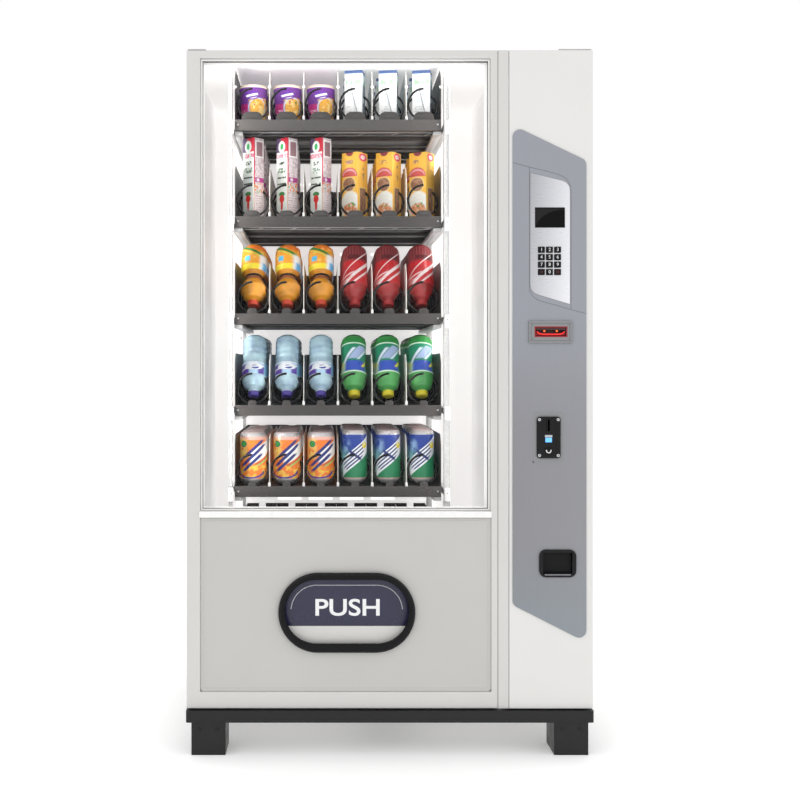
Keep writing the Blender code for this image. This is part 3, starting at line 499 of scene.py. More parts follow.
def lathe(profile, sides=36, scale=(1, 1)):
    """Turns (radius, height, material) rows about Z into a closed body.

    UV: u round it from the back, v up it.

    Each row's material covers the band above it, so the mesh carries its own materials.
    """
    bm = bmesh.new()
    uv = bm.loops.layers.uv.new("UVMap")
    bottom, top = profile[0][1], profile[-1][1]
    rings = []
    for radius, height, _ in profile:
        ring = []
        for k in range(sides):
            angle = math.pi / 2 + 2 * math.pi * k / sides
            ring.append(
                bm.verts.new(
                    (radius * scale[0] * math.cos(angle), radius * scale[1] * math.sin(angle), height)
                )
            )
        rings.append(ring)
    finishes = []
    for (lower, upper), (_, height, finish), (_, next_height, _) in zip(
        zip(rings, rings[1:]), profile, profile[1:]
    ):
        if finish not in finishes:
            finishes.append(finish)
        for k in range(sides):
            after = (k + 1) % sides
            face = bm.faces.new((lower[k], lower[after], upper[after], upper[k]))
            face.material_index = finishes.index(finish)
            for loop, (u, v) in zip(
                face.loops, ((k, height), (k + 1, height), (k + 1, next_height), (k, next_height))
            ):
                loop[uv].uv = (u / sides, (v - bottom) / (top - bottom))
    for ring, index in ((rings[0][::-1], 0), (rings[-1], len(finishes) - 1)):
        bm.faces.new(ring).material_index = finishes.index(profile[0 if index == 0 else -2][2])
    mesh = to_mesh(bm)
    for finish in finishes:
        mesh.materials.append(finish)
    return mesh


def carton(width, depth, height, front, side, top, bevel=0.0015):
    """A box on the origin with UV 0 to 1 over each upright face; front faces -Y."""
    bm = bmesh.new()
    uv = bm.loops.layers.uv.new("UVMap")
    bmesh.ops.create_cube(bm, size=1.0)
    bmesh.ops.scale(bm, vec=(width, depth, height), verts=bm.verts)
    bmesh.ops.translate(bm, vec=(0, 0, height / 2), verts=bm.verts)
    bmesh.ops.bevel(bm, geom=bm.edges[:], offset=bevel, segments=2, profile=0.5, affect="EDGES")
    for face in bm.faces:
        normal = face.normal
        flat_front = abs(normal.y) >= abs(normal.x)
        face.material_index = 2 if abs(normal.z) > 0.8 else (0 if flat_front else 1)
        for loop in face.loops:
            co = loop.vert.co
            across = (co.x / width if flat_front else co.y / depth) + 0.5
            loop[uv].uv = (across, co.z / height)
    mesh = to_mesh(bm)
    for finish in (front, side, top):
        mesh.materials.append(finish)
    return mesh


class Piece:
    """Collects shapes, each with its material, into one object."""

    def __init__(self, name):
        self.name = name
        self.bm = bmesh.new()
        self.finishes = []

    def add(self, mesh, finish=None, *matrices, keep=False):
        """Puts a mesh in at each matrix, with one material or, when finish is None, with its own."""
        finishes = list(mesh.materials) if finish is None else [finish]
        for each in finishes:
            if each not in self.finishes:
                self.finishes.append(each)
        table = [self.finishes.index(each) for each in finishes]
        for matrix in matrices or (Matrix(),):
            verts, faces = len(self.bm.verts), len(self.bm.faces)
            self.bm.from_mesh(mesh)
            self.bm.verts.ensure_lookup_table()
            self.bm.faces.ensure_lookup_table()
            for vert in self.bm.verts[verts:]:
                vert.co = matrix @ vert.co
            for face in self.bm.faces[faces:]:
                face.material_index = table[face.material_index] if finish is None else table[0]
        if not keep:
            bpy.data.meshes.remove(mesh)
        return self

    def finish(self, body, slot, *replaces, smooth=32):
        mesh = bpy.data.meshes.new(self.name)
        self.bm.to_mesh(mesh)
        self.bm.free()
        for each in self.finishes:
            mesh.materials.append(each)
        mesh.polygons.foreach_set("use_smooth", [True] * len(mesh.polygons))
        mesh.set_sharp_from_angle(angle=math.radians(smooth))
        made = bpy.data.objects.new(self.name, mesh)
        bpy.context.scene.collection.objects.link(made)
        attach(made, body)
        if replaces:
            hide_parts(*replaces)
        return made


def polish(node, finish, bevel=0.001, segments=2, planar=1.0):
    """Gives a CAD node its material, rounded edges and clean shading."""
    obj = NODES[node]
    obj.data.materials.clear()
    obj.data.materials.append(finish)
    weld = obj.modifiers.new("weld", "WELD")
    weld.merge_threshold = 0.00001
    if planar:
        flat = obj.modifiers.new("planar", "DECIMATE")
        flat.decimate_type = "DISSOLVE"
        flat.angle_limit = math.radians(planar)
    if bevel:
        edge = obj.modifiers.new("edges", "BEVEL")
        edge.width = bevel
        edge.segments = segments
        edge.limit_method = "ANGLE"
        edge.angle_limit = math.radians(30)
        edge.harden_normals = True
    obj.data.polygons.foreach_set("use_smooth", [True] * len(obj.data.polygons))
    normals = obj.modifiers.new("normals", "WEIGHTED_NORMAL")
    normals.keep_sharp = True
    return obj


def turned(x, y, z, *turns):
    """A matrix that turns about the origin, then moves to (x, y, z). Turns are (degrees, axis)."""
    matrix = Matrix.Translation((x, y, z))
    for degrees, axis in turns:
        matrix = matrix @ Matrix.Rotation(math.radians(degrees), 4, axis)
    return matrix


def screw(radius=0.0038, height=0.0016):
    """A domed screw head on the origin facing +Z with a cross recess drawn as a dark cross: painted shade."""
    rows = coat(STEEL, (radius, 0), (radius, height * 0.35), (radius * 0.86, height * 0.75))
    rows += [(radius * 0.5, height, STEEL), (radius * 0.1, height * 1.05, STEEL)]
    head = Piece("screw")
    head.add(lathe(rows, 16))
    for angle in (45, 135):
        slot = box(
            (-radius * 0.6, -radius * 0.11, height * 0.7), (radius * 0.6, radius * 0.11, height * 1.09)
        )
        head.add(slot, DARK_FILTER_AND_RECESS_SHADE, turned(0, 0, 0, (angle, "Z")))
    mesh = to_mesh(head.bm)
    for each in head.finishes:
        mesh.materials.append(each)
    return mesh


SCREW = screw()
FACING_FRONT = (90, "X")  # a lathe's top turned to -Y
FACING_BACK = (-90, "X")


# ---------------------------------------------------------------- skid, cabinet and liner

GAP = 0.0003


def inset(corners, by):
    (x_low, y_low), (x_high, y_high) = corners[0], corners[2]
    return rectangle(x_low + by, y_low + by, x_high - by, y_high - by)


def of_box(node):
    """The XZ rectangle of a node."""
    low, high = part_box(node)
    return rectangle(low.x, low.z, high.x, high.z)


def make_cabinet():
    for node in ("base_frame", "foot_front_left", "foot_front_right", "foot_rear_left", "foot_rear_right"):
        polish(node, BLACK_STEEL, 0.0014, 3)
    # The shell takes the lighter copy of the white steel: painted light.
    polish("cabinet_shell", WHITE_STEEL_PAINTED_LIGHTER, 0.0006)
    # The liner takes the faint painted glow.
    polish("insulated_liner", LINER_WHITE_PAINTED_GLOW, 0.0012)
    polish("delivery_bin", TRAY_SHADE, 0.0007)
    polish("rear_vent_grille", WHITE_STEEL, 0.0008)
    polish("power_inlet", BLACK_PLASTIC, 0.0008)
    polish("control_box", ZINC, 0.0006)
    polish("top_hinge_left", ZINC_DARK, 0.0008)
    polish("top_hinge_right", ZINC_DARK, 0.0008)
    polish("led_strip_left", LAMP, 0.0)
    polish("led_strip_right", LAMP, 0.0)
    polish("door_lock", CHROME, 0.0005)


def make_feet_details():
    """A levelling bolt with its nut in each foot, and the foot's two bolt heads."""
    piece = Piece("levelling_bolts")
    for end in ("front", "rear"):
        for side in ("left", "right"):
            low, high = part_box(f"foot_{end}_{side}")
            middle = (low + high) / 2
            out = -1 if end == "front" else 1
            rows = coat(STEEL, (0.0055, 0.0045), (0.0055, 0.016), (0.011, 0.016), (0.011, 0.024))
            rows += [(0.0055, 0.024, STEEL), (0.0055, 0.060, STEEL)]
            piece.add(lathe(rows, 6), None, turned(middle.x, middle.y, 0))
            y_face = low.y if out < 0 else high.y
            for dx in (-0.024, 0.024):
                turn = FACING_FRONT if out < 0 else FACING_BACK
                piece.add(
                    SCREW, BLACK_STEEL,
                    turned(middle.x + dx, y_face, high.z - 0.020, turn) @ Matrix.Scale(1.5, 4), keep=True
                )
    piece.finish("cabinet", "black_steel")


def make_back():
    """Rear panel with its screws, the filter behind the vent and the pins of the mains inlet."""
    y = SHELL_HIGH.y
    rear = Piece("rear_panel")
    outline = rounded(
        rectangle(SHELL_LOW.x + 0.018, SHELL_LOW.z + 0.300, SHELL_HIGH.x - 0.018, SHELL_HIGH.z - 0.025),
        0.006
    )
    rear.add(panel([outline], "Y", y + 0.0002, y + 0.0022, 0.0008), WHITE_STEEL)
    ribs = 5
    for k in range(ribs):
        z = 0.62 + k * 0.28
        rib = panel([stadium(0, z, SHELL_HIGH.x * 1.55, 0.026)], "Y", y + 0.0016, y + 0.0052, 0.0016)
        rear.add(rib, WHITE_STEEL)
    for x in (SHELL_LOW.x + 0.030, -0.19, 0.19, SHELL_HIGH.x - 0.030):
        for z in (SHELL_LOW.z + 0.312, SHELL_HIGH.z - 0.038):
            rear.add(SCREW, None, turned(x, y + 0.0022, z, FACING_BACK), keep=True)
    for x in (SHELL_LOW.x + 0.030, SHELL_HIGH.x - 0.030):
        for k in range(1, 5):
            rear.add(
                SCREW, None, turned(x, y + 0.0022, SHELL_LOW.z + 0.312 + k * 0.292, FACING_BACK), keep=True
            )
    rear.finish("cabinet", "white_steel")

    low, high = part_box("rear_vent_grille")
    vent = Piece("vent_filter")
    vent.add(
        box((low.x + 0.02, y - 0.0060, low.z + 0.02), (high.x - 0.02, y - 0.0020, high.z - 0.02), 0.001),
        DARK_FILTER_AND_RECESS_SHADE
    )
    for row in range(9):
        z = low.z + 0.0315 + row * 0.021
        for x in (low.x + 0.030, low.x + 0.330):
            blade = box((0, -0.0050, -0.0008), (0.280, 0.0050, 0.0008), 0.0004)
            vent.add(blade, WHITE_STEEL, turned(x, y + 0.0060, z + 0.005, (-32, "X")))
    for x in (low.x + 0.010, (low.x + high.x) / 2, high.x - 0.010):
        for z in (low.z + 0.010, high.z - 0.010):
            vent.add(SCREW, None, turned(x, high.y, z, FACING_BACK), keep=True)
    vent.finish("cabinet", "white_steel")

    low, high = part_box("power_inlet")
    middle = (low + high) / 2
    pins = Piece("inlet_pins")
    for dx, dz in ((-0.007, -0.004), (0.007, -0.004), (0.0, 0.004)):
        pin = box((-0.001, 0, -0.003), (0.001, 0.0075, 0.003), 0.0005)
        pins.add(pin, BRUSHED, turned(middle.x + dx, low.y + 0.0041, middle.z + dz))
    outline = rounded(
        rectangle(middle.x - 0.014, middle.z - 0.011, middle.x + 0.014, middle.z + 0.011),
        [0.001, 0.001, 0.006, 0.006], 3
    )
    rim = rounded(
        rectangle(middle.x - 0.016, middle.z - 0.013, middle.x + 0.016, middle.z + 0.013),
        [0.002, 0.002, 0.007, 0.007], 3
    )
    pins.add(panel([rim, outline], "Y", low.y + 0.0042, low.y + 0.0092, 0.0004), BLACK_PLASTIC)
    for dx in (-0.0235, 0.0235):
        pins.add(
            SCREW, None,
            turned(middle.x + dx, low.y + 0.0042, middle.z, FACING_BACK) @ Matrix.Scale(0.7, 4), keep=True
        )
    pins.finish("cabinet", "black_plastic")


def make_top():
    """Hinge screws, the top sheet and its four plugs."""
    z = SHELL_HIGH.z
    top = Piece("top_details")
    for node in ("top_hinge_left", "top_hinge_right"):
        low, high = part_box(node)
        for x in (low.x + 0.014, high.x - 0.014):
            for y in (low.y + 0.085, high.y - 0.012):
                top.add(SCREW, None, turned(x, y, low.z + 0.003), keep=True)
    outline = rounded(
        rectangle(SHELL_LOW.x + 0.02, SHELL_LOW.y + 0.10, SHELL_HIGH.x - 0.02, SHELL_HIGH.y - 0.02), 0.012
    )
    # The top sheet takes the lighter copy of the white steel: painted light.
    top.add(panel([outline], "Z", z + 0.0001, z + 0.0014, 0.0006), WHITE_STEEL_PAINTED_LIGHTER)
    for x in (-0.40, 0.40):
        for y in (-0.15, 0.31):
            top.add(
                lathe(coat(SATIN_BLACK, (0.013, 0), (0.012, 0.0015), (0.007, 0.0026), (0.001, 0.003)), 24),
                None, turned(x, y, z + 0.0014)
            )
    top.finish("cabinet", "white_steel")


def make_racks():
    """Slotted uprights and tray rails on both sides, with a perforated front face."""
    for side in ("left", "right"):
        node = f"{side}_rail_rack"
        low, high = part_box(node)
        post, bar = 0.020, 0.018
        piece = Piece(f"{side}_rack")
        for y in (low.y, high.y - post):
            holes, z = [], low.z + 0.012
            while z < high.z - 0.02:
                holes.append(rectangle(y + 0.007, z, y + 0.013, z + 0.012))
                z += 0.025
            outline = rectangle(y, low.z, y + post, high.z)
            piece.add(panel([outline, *holes], "X", low.x, high.x, 0.0005, 2), ZINC)
        for number in range(1, TRAYS + 1):
            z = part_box(f"tray_{number}")[0].z + 0.0045
            rail = panel(
                [rounded(rectangle(low.y + post, z, high.y - post, z + bar), 0.002, 2)], "X", low.x + 0.001,
                high.x - 0.001, 0.0006, 2
            )
            piece.add(rail, ZINC)
            for y in (low.y + 0.05, high.y - 0.05):
                for x, turn in ((low.x + 0.001, (-90, "Y")), (high.x - 0.001, (90, "Y"))):
                    piece.add(SCREW, None, turned(x, y, z + bar / 2, turn) @ Matrix.Scale(0.9, 4), keep=True)
        slots, z = [], low.z + 0.006
        width = high.x - low.x
        while z < high.z - 0.008:
            slots.append(rectangle(low.x + width * 0.3, z, high.x - width * 0.3, z + 0.0045))
            z += 0.0115
        cover = panel(
            [rectangle(low.x, low.z, high.x, high.z), *slots], "Y", low.y - 0.0012, low.y - 0.0001, 0.0003,
            1
        )
        # The left front cover takes the darker galvanised: painted shade.
        piece.add(cover, ZINC if side == "right" else ZINC_DARK)
        piece.finish("cabinet", "grey_steel", node)


def make_liner_details():
    """The air duct on the back wall with its outlet slots, and the lamp holders."""
    wall = LINER_HIGH.y - 0.005
    left, right = LINER_LOW.x + 0.005, LINER_HIGH.x - 0.005
    duct = Piece("air_duct")
    centre = -0.140
    slots = []
    for row in range(12):
        for column in range(4):
            slots.append(stadium(centre + (column - 1.5) * 0.105, 0.50 + row * 0.118, 0.080, 0.009, 4))
    outline = rounded(rectangle(centre - 0.335, 0.425, centre + 0.335, LINER_HIGH.z - 0.012), 0.010)
    # The duct's front panel carries the painted glow.
    duct.add(panel([outline, *slots], "Y", wall - 0.016, wall - 0.0135, 0.0008, 2), DUCT_PAINTED_GLOW)
    # The duct's rim takes the liner's faint painted glow.
    duct.add(panel([outline, inset_polygon(outline, 0.0020)], "Y", wall - 0.0140, wall - 0.0002), LINER_WHITE_PAINTED_GLOW)
    for x in (centre - 0.322, centre + 0.322):
        for z in (0.445, 1.16, LINER_HIGH.z - 0.030):
            duct.add(SCREW, None, turned(x, wall - 0.016, z, FACING_FRONT), keep=True)
    duct.finish("cabinet", "white_plastic")

    lamps = Piece("lamp_holders")
    for node, wall_x, inward in (("led_strip_left", left, 1), ("led_strip_right", right, -1)):
        low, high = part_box(node)
        middle = (low.y + high.y) / 2
        for z in (low.z - 0.0105, high.z + 0.0005):
            x_low, x_high = sorted((wall_x + inward * 0.0003, wall_x + inward * 0.0200))
            lamps.add(
                box((x_low, middle - 0.0165, z), (x_high, middle + 0.0165, z + 0.010), 0.003, 3), TRIM_WHITE
            )
        x_low, x_high = sorted((wall_x + inward * 0.0002, wall_x + inward * 0.0022))
        for y in (low.y - 0.0042, high.y + 0.0012):
            lamps.add(box((x_low, y, low.z), (x_high, y + 0.003, high.z), 0.0006), ALUMINIUM)
    lamps.finish("cabinet", "white_plastic")


def inset_polygon(points, by):
    """A convex outline moved inwards, for rounded rectangles."""
    xs, ys = [p[0] for p in points], [p[1] for p in points]
    cx, cy = (min(xs) + max(xs)) / 2, (min(ys) + max(ys)) / 2
    kx, ky = 1 - 2 * by / (max(xs) - min(xs)), 1 - 2 * by / (max(ys) - min(ys))
    return [(cx + (x - cx) * kx, cy + (y - cy) * ky) for x, y in points]


def make_cooling():
    """Compressor with its pipes, finned condenser with a fan, and the tray they stand on."""
    low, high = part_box("cooling_unit")
    floor = low.z
    unit = Piece("cooling_assembly")
    outline = rounded(rectangle(low.x, low.y, high.x, 0.330), 0.006)
    unit.add(panel([outline], "Z", floor, floor + 0.004, 0.0008), BLACK_STEEL)
    r = 0.078
    rows = coat(BLACK_STEEL, (r * 0.62, 0.014), (r * 0.9, 0.022), (r, 0.040), (r, 0.096))
    rows += coat(BLACK_STEEL, (r + 0.003, 0.098), (r + 0.003, 0.104), (r, 0.106), (r, 0.140))
    rows += coat(BLACK_STEEL, (r * 0.93, 0.160), (r * 0.7, 0.173), (r * 0.3, 0.179), (0.002, 0.180))
    unit.add(lathe(rows, 48), None, turned(-0.300, 0.120, floor))
    for angle in (45, 135, 225, 315):
        foot = box((0.045, -0.012, 0.004), (0.098, 0.012, 0.016), 0.002)
        unit.add(foot, BLACK_STEEL, turned(-0.300, 0.120, floor, (angle, "Z")))
    for k in range(56):
        x = -0.128 + k * 0.0052
        unit.add(box((x, 0.250, floor + 0.008), (x + 0.0008, 0.280, floor + 0.236)), ALUMINIUM)
    for z in (floor + 0.004, floor + 0.236):
        unit.add(box((-0.130, 0.2495, z), (0.160, 0.2805, z + 0.004), 0.001), BLACK_STEEL)
    for k in range(9):
        z = floor + 0.022 + k * 0.025
        unit.add(wire([(-0.130, 0.265, z), (0.160, 0.265, z)], 0.0035), COPPER)
    centre = (0.015, 0.222, floor + 0.120)
    ring = [(0.100 * math.cos(a), 0.100 * math.sin(a)) for a in (2 * math.pi * k / 48 for k in range(48))]
    hole = [(x * 0.95, z * 0.95) for x, z in ring]
    moved = [[(x + centre[0], z + centre[2]) for x, z in points] for points in (ring, hole)]
    unit.add(panel(moved, "Y", 0.192, 0.2495, 0.0015), BLACK_STEEL)
    for k in range(5):
        blade = panel(
            [rounded([(-0.010, 0.016), (0.012, 0.016), (0.034, 0.088), (-0.022, 0.088)], 0.006, 3)], "Y",
            -0.0012, 0.0012, 0.0005
        )
        unit.add(blade, SATIN_BLACK, turned(*centre, (k * 72, "Y"), (24, "Z")))
    hub = coat(SATIN_BLACK, (0.018, -0.012), (0.022, -0.006), (0.022, 0.014), (0.006, 0.016))
    unit.add(lathe(hub, 32), None, turned(*centre, FACING_BACK))
    pipes = (
        [(-0.300, 0.198, floor + 0.120), (-0.300, 0.236, floor + 0.124), (-0.240, 0.262, floor + 0.180),
         (-0.170, 0.265, floor + 0.222), (-0.130, 0.265, floor + 0.222)],
        [(-0.352, 0.180, floor + 0.100), (-0.372, 0.232, floor + 0.110), (-0.372, 0.290, floor + 0.160),
         (-0.300, 0.318, floor + 0.240), (-0.160, 0.325, floor + 0.262)],
    )
    for pipe in pipes:
        unit.add(wire(smooth_path(pipe), 0.0042), COPPER)
    unit.finish("cabinet", "black_steel", "cooling_unit")


def smooth_path(points, steps=6):
    """Catmull-Rom points through the given ones."""
    points = [Vector(p) for p in points]
    ends = [points[0] * 2 - points[1], *points, points[-1] * 2 - points[-2]]
    out = []
    for a, b, c, d in zip(ends, ends[1:], ends[2:], ends[3:]):
        for k in range(steps):
            t = k / steps
            out.append(
                0.5 * (
                    (2 * b) + (c - a) * t + (
                        2 * a - 5 * b + 4 * c - d
                    ) * t ** 2 + (3 * b - a - 3 * c + d) * t ** 3
                )
            )
    return out + [points[-1]]


def make_lock():
    """Lock face with its turned rim and key slot, in the right side wall."""
    low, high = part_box("door_lock")
    middle = (low + high) / 2
    z = high.z - 0.0138
    lock = Piece("lock_face")
    rows = coat(CHROME, (0.0138, 0), (0.0138, 0.0012), (0.0126, 0.0022), (0.0100, 0.0022))
    rows += [(0.0096, 0.0014, CHROME), (0.0005, 0.0014, CHROME)]
    lock.add(lathe(rows, 40), None, turned(high.x, middle.y, z, (90, "Y")))
    # The key slot is a dark bar on the lock face: painted shade.
    lock.add(
        box(
            (high.x + 0.0013, middle.y - 0.0006, z - 0.0048),
            (high.x + 0.0018, middle.y + 0.0006, z + 0.0048)
        ), DARK_FILTER_AND_RECESS_SHADE
    )
    lock.finish("lock", "lock_chrome")


# ---------------------------------------------------------------- glazed door

WINDOW = inset(of_box("window_glass"), -GAP)
LOWER = inset(of_box("lower_panel"), -GAP)
HATCH_LOW, HATCH_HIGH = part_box("pickup_bezel")
FLAP_LOW, FLAP_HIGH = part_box("pickup_flap")


def make_door_frame():
    """The folded frame with rounded edges, the bead round the window and the sill under it, painted brighter
    than the frame as a painted highlight.
    """
    outer = of_box("door_frame")
    piece = Piece("door_frame_skin")
    piece.add(panel([outer, WINDOW, LOWER], "Y", FACE, FACE + 0.0070, 0.0024, 4), WHITE_STEEL)
    shy = 0.0002
    for outline, by in (
        (inset(outer, shy), 0.0023), (inset(WINDOW, -shy), -0.0023), (inset(LOWER, -shy), -0.0023)
    ):
        pair = [outline, inset(outline, by)]
        piece.add(panel(pair if by > 0 else pair[::-1], "Y", FACE + 0.0040, DOOR_BACK), WHITE_STEEL)
    piece.finish("glass_door", "white_steel", "door_frame")

    bead = Piece("window_bead")
    bead.add(
        panel([inset(WINDOW, 0.0003), inset(WINDOW, 0.0052)], "Y", FACE + 0.0075, FACE + 0.0138, 0.0016, 3),
        TRIM_WHITE
    )
    bead.add(
        panel([inset(WINDOW, 0.0004), inset(WINDOW, 0.0062)], "Y", FACE + 0.0224, FACE + 0.0270, 0.0008, 2),
        RUBBER
    )
    bead.finish("glass_door", "white_steel")

    sill = Piece("window_sill_bar")
    low_z, high_z = LOWER[2][1] + 0.0015, WINDOW[0][1] - 0.0004
    bar = panel([rounded(rectangle(WINDOW[0][0] - 0.003, low_z, WINDOW[2][0] + 0.003, high_z), 0.003)],
                "Y", FACE - 0.0050, FACE - GAP, 0.0022, 4)
    # The sill bar is painted brighter than the frame: a painted highlight.
    sill.add(bar, SILL_PAINTED_HIGHLIGHT)
    sill.finish("glass_door", "white_steel")


def make_door_inside():
    # The door's inner liner takes the same faint painted glow.
    polish("door_liner", LINER_WHITE_PAINTED_GLOW, 0.0008)
    polish("door_gasket", RUBBER, 0.0015)
    polish("window_glass", GLASS, 0.0006)
    polish("edge_profile", WHITE_STEEL, 0.0008)
    low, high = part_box("door_liner")
    piece = Piece("door_liner_screws")
    for x in (low.x + 0.010, high.x - 0.010):
        for k in range(8):
            piece.add(
                SCREW, None,
                turned(
                    x, high.y, low.z + 0.03 + k * (high.z - low.z - 0.06) / 7, FACING_BACK
                ) @ Matrix.Scale(0.8, 4), keep=True
            )
    piece.finish("glass_door", "white_plastic")


def make_seals():
    """Rubber seals on the front edges of the cabinet, which close the gap behind both doors."""
    seals = Piece("cabinet_seals")
    front, back = SHELL_LOW.y - 0.0035, SHELL_LOW.y - 0.0003
    width, height = 0.0195, 0.0120
    for door in ("door_frame", "payment_door"):
        low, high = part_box(door)
        outer = low.x if door == "door_frame" else high.x - width
        seals.add(
            box(
                (outer + 0.0005, front, low.z + 0.002), (outer + width - 0.0005, back, high.z - height),
                0.0010
            ), RUBBER
        )
        seals.add(
            box((low.x + 0.0005, front, high.z - height), (high.x - 0.0005, back, high.z - 0.0005), 0.0010),
            RUBBER
        )
    seals.finish("cabinet", "gasket_rubber")


def make_lower_panel():
    """The sunk panel with a pressed border and the groove under it."""
    middle_x = (HATCH_LOW.x + HATCH_HIGH.x) / 2
    middle_z = (HATCH_LOW.z + HATCH_HIGH.z) / 2
    hole = stadium(middle_x, middle_z + 0.002, 0.350, 0.188)
    outline = inset(LOWER, GAP)
    face, back = PANEL_LOW.y, FACE + 0.007
    piece = Piece("lower_panel_skin")
    # The sunk panel, its border and its ears take the darker copy of the white steel: painted shade.
    piece.add(
        panel([rounded(outline, [0.010, 0.010, 0.003, 0.003]), hole], "Y", face, back, 0.0012, 3),
        WHITE_STEEL_PAINTED_SHADE
    )
    border = rounded(inset(outline, 0.0075), [0.012, 0.012, 0.004, 0.004])
    inner = rounded(inset(outline, 0.0100), [0.010, 0.010, 0.003, 0.003])
    piece.add(panel([border, inner], "Y", face - 0.0006, face + 0.0006, 0.0005, 2), WHITE_STEEL_PAINTED_SHADE)
    for x in (middle_x - 0.186, middle_x + 0.186):
        ear = panel(
            [rounded(rectangle(face + 0.002, 0.484, FLAP_HIGH.y + 0.004, 0.501), 0.004, 3)], "X", x - 0.003,
            x + 0.003, 0.0006, 2
        )
        piece.add(ear, WHITE_STEEL_PAINTED_SHADE)
    piece.finish("glass_door", "white_steel", "lower_panel")


def make_hatch():
    """Glossy rounded surround and the two-tone push flap with its lettering and a pressed rib painted pale
    grey: a painted highlight along the rib.
    """
    x = (HATCH_LOW.x + HATCH_HIGH.x) / 2
    z = (HATCH_LOW.z + HATCH_HIGH.z) / 2
    width, height = HATCH_HIGH.x - HATCH_LOW.x, HATCH_HIGH.z - HATCH_LOW.z
    inner_bottom, inner_top = 0.3047, 0.4787
    inner_z, inner_height = (inner_bottom + inner_top) / 2, inner_top - inner_bottom
    surround = Piece("hatch_surround")
    surround.add(panel([stadium(x, z, width, height, 24), stadium(x, inner_z, 0.340, inner_height, 24)],
                       "Y", HATCH_LOW.y, HATCH_HIGH.y, 0.0058, 7), BLACK_PLASTIC)
    surround.add(
        panel(
            [
                stadium(x, z, width - 0.012, height - 0.012, 24),
                stadium(x, inner_z, 0.3445, inner_height + 0.0045, 24)
            ], "Y", HATCH_LOW.y - 0.0006, HATCH_LOW.y + 0.004, 0.0016, 3
        ), SATIN_BLACK
    )
    surround.finish("glass_door", "black_plastic", "pickup_bezel")

    front, back = FLAP_LOW.y + 0.0022, FLAP_LOW.y + 0.0062
    split = 0.3500
    left, right, bottom, top = FLAP_LOW.x + 0.016, FLAP_HIGH.x - 0.016, FLAP_LOW.z, FLAP_HIGH.z - 0.0045
    flap = Piece("push_flap")
    upper = rounded(rectangle(left, split + 0.0004, right, top), [0.0, 0.0, 0.020, 0.020])
    flap.add(panel([upper], "Y", front, back, 0.0006, 2), FLAP_BLUE)
    lower = rounded(rectangle(left, bottom, right, split - 0.0004), [0.050, 0.050, 0.0, 0.0])
    flap.add(panel([lower], "Y", front + 0.0004, back, 0.0006, 2), FLAP_PALE)
    flap.add(
        box((left + 0.004, front + 0.001, split - 0.002), (right - 0.004, back - 0.0005, split + 0.002)),
        DARK_GROOVE
    )
    rib_radius = inner_height / 2 - 0.0165
    rib = []
    for k in range(25):
        angle = math.pi * (0.98 - 0.48 * k / 24)
        rib.append(
            (
                x - 0.170 + 0.0165 + rib_radius + rib_radius * math.cos(angle), front - 0.0002,
                inner_z + rib_radius * math.sin(angle)
            )
        )
    rib += [(2 * x - px, py, pz) for px, py, pz in reversed(rib)]
    # The rib is pale grey against the blue flap: a painted highlight.
    flap.add(wire(rib, 0.0012), PALE_GREY)
    barrel = [(0.0045, 0, FLAP_BLUE), (0.0045, right - left, FLAP_BLUE)]
    flap.add(lathe(barrel, 16), None, turned(left, (front + back) / 2, FLAP_HIGH.z - 0.0045, (90, "Y")))
    pin = [(0.0030, 0, STEEL), (0.0030, FLAP_HIGH.x - FLAP_LOW.x, STEEL)]
    flap.add(lathe(pin, 16), None, turned(FLAP_LOW.x, (front + back) / 2, FLAP_HIGH.z - 0.0045, (90, "Y")))
    word = lettering("PUSH", 0.1, 0.0010, 0.0016)
    reach = [
        max(v.co[axis] for v in word.vertices) - min(v.co[axis] for v in word.vertices) for axis in (0, 2)
    ]
    middle = [
        (
            max(v.co[axis] for v in word.vertices) + min(v.co[axis] for v in word.vertices)
        ) / 2 for axis in (0, 2)
    ]
    fit = Matrix.Diagonal(
        (0.177 / reach[0], 1, 0.047 / reach[1], 1)
    ) @ Matrix.Translation((-middle[0], 0, -middle[1]))
    flap.add(word, INK_WHITE, Matrix.Translation((x + 0.0022, front - 0.0002, 0.4012)) @ fit)
    flap.finish("pickup_flap", "flap_blue", "pickup_flap")


# ---------------------------------------------------------------- payment door


def make_payment_door():
    # The payment door takes the lighter copy of the white steel: painted light.
    polish("payment_door", WHITE_STEEL_PAINTED_LIGHTER, 0.0011, 3)
    polish("fascia_panel", FASCIA_GREY, 0.0009, 2)
    polish("keypad_panel", SILVER, 0.0007, 2)
    polish("display_window", DISPLAY, 0.0006, 2)
    polish("bill_acceptor", GREY_BEZEL, 0.0010, 2)
    polish("coin_acceptor", BLACK_PLASTIC, 0.0008, 2)
    polish("coin_return_cup", BLACK_PLASTIC, 0.0012, 3)
    polish("coin_return_flap", SATIN_BLACK, 0.0006)
    polish("reject_button", SATIN_BLACK, 0.0010, 3)
    seams = Piece("fascia_seams")
    y = FASCIA_LOW.y
    edge = FASCIA_HIGH.x
    upper = [
        (FASCIA_LOW.x + 0.001, 1.6229), (0.3836, 1.6103), (0.4472, 1.5947), (0.4790, 1.5821),
        (0.4925, 1.5640), (0.4968, 1.5389)
    ]
    upper += [(0.4968, 1.4200), (0.4968, 1.3000), (0.4968, 1.2215)]
    lower = [
        (0.3826, 1.2760), (0.3870, 1.2640), (0.3972, 1.2526), (0.4109, 1.2444), (0.4500, 1.2335),
        (0.4927, 1.2209), (edge - 0.002, 1.2091)
    ]
    side = [(0.3826, 1.6100), (0.3826, 1.4500), (0.3826, 1.2760)]
    for line in (upper, lower, side):
        seams.add(wire(smooth_path([(px, y, pz) for px, pz in line], 6), 0.0006, 1), FINE_LINE)
    seams.finish("payment_door", "fascia_grey")


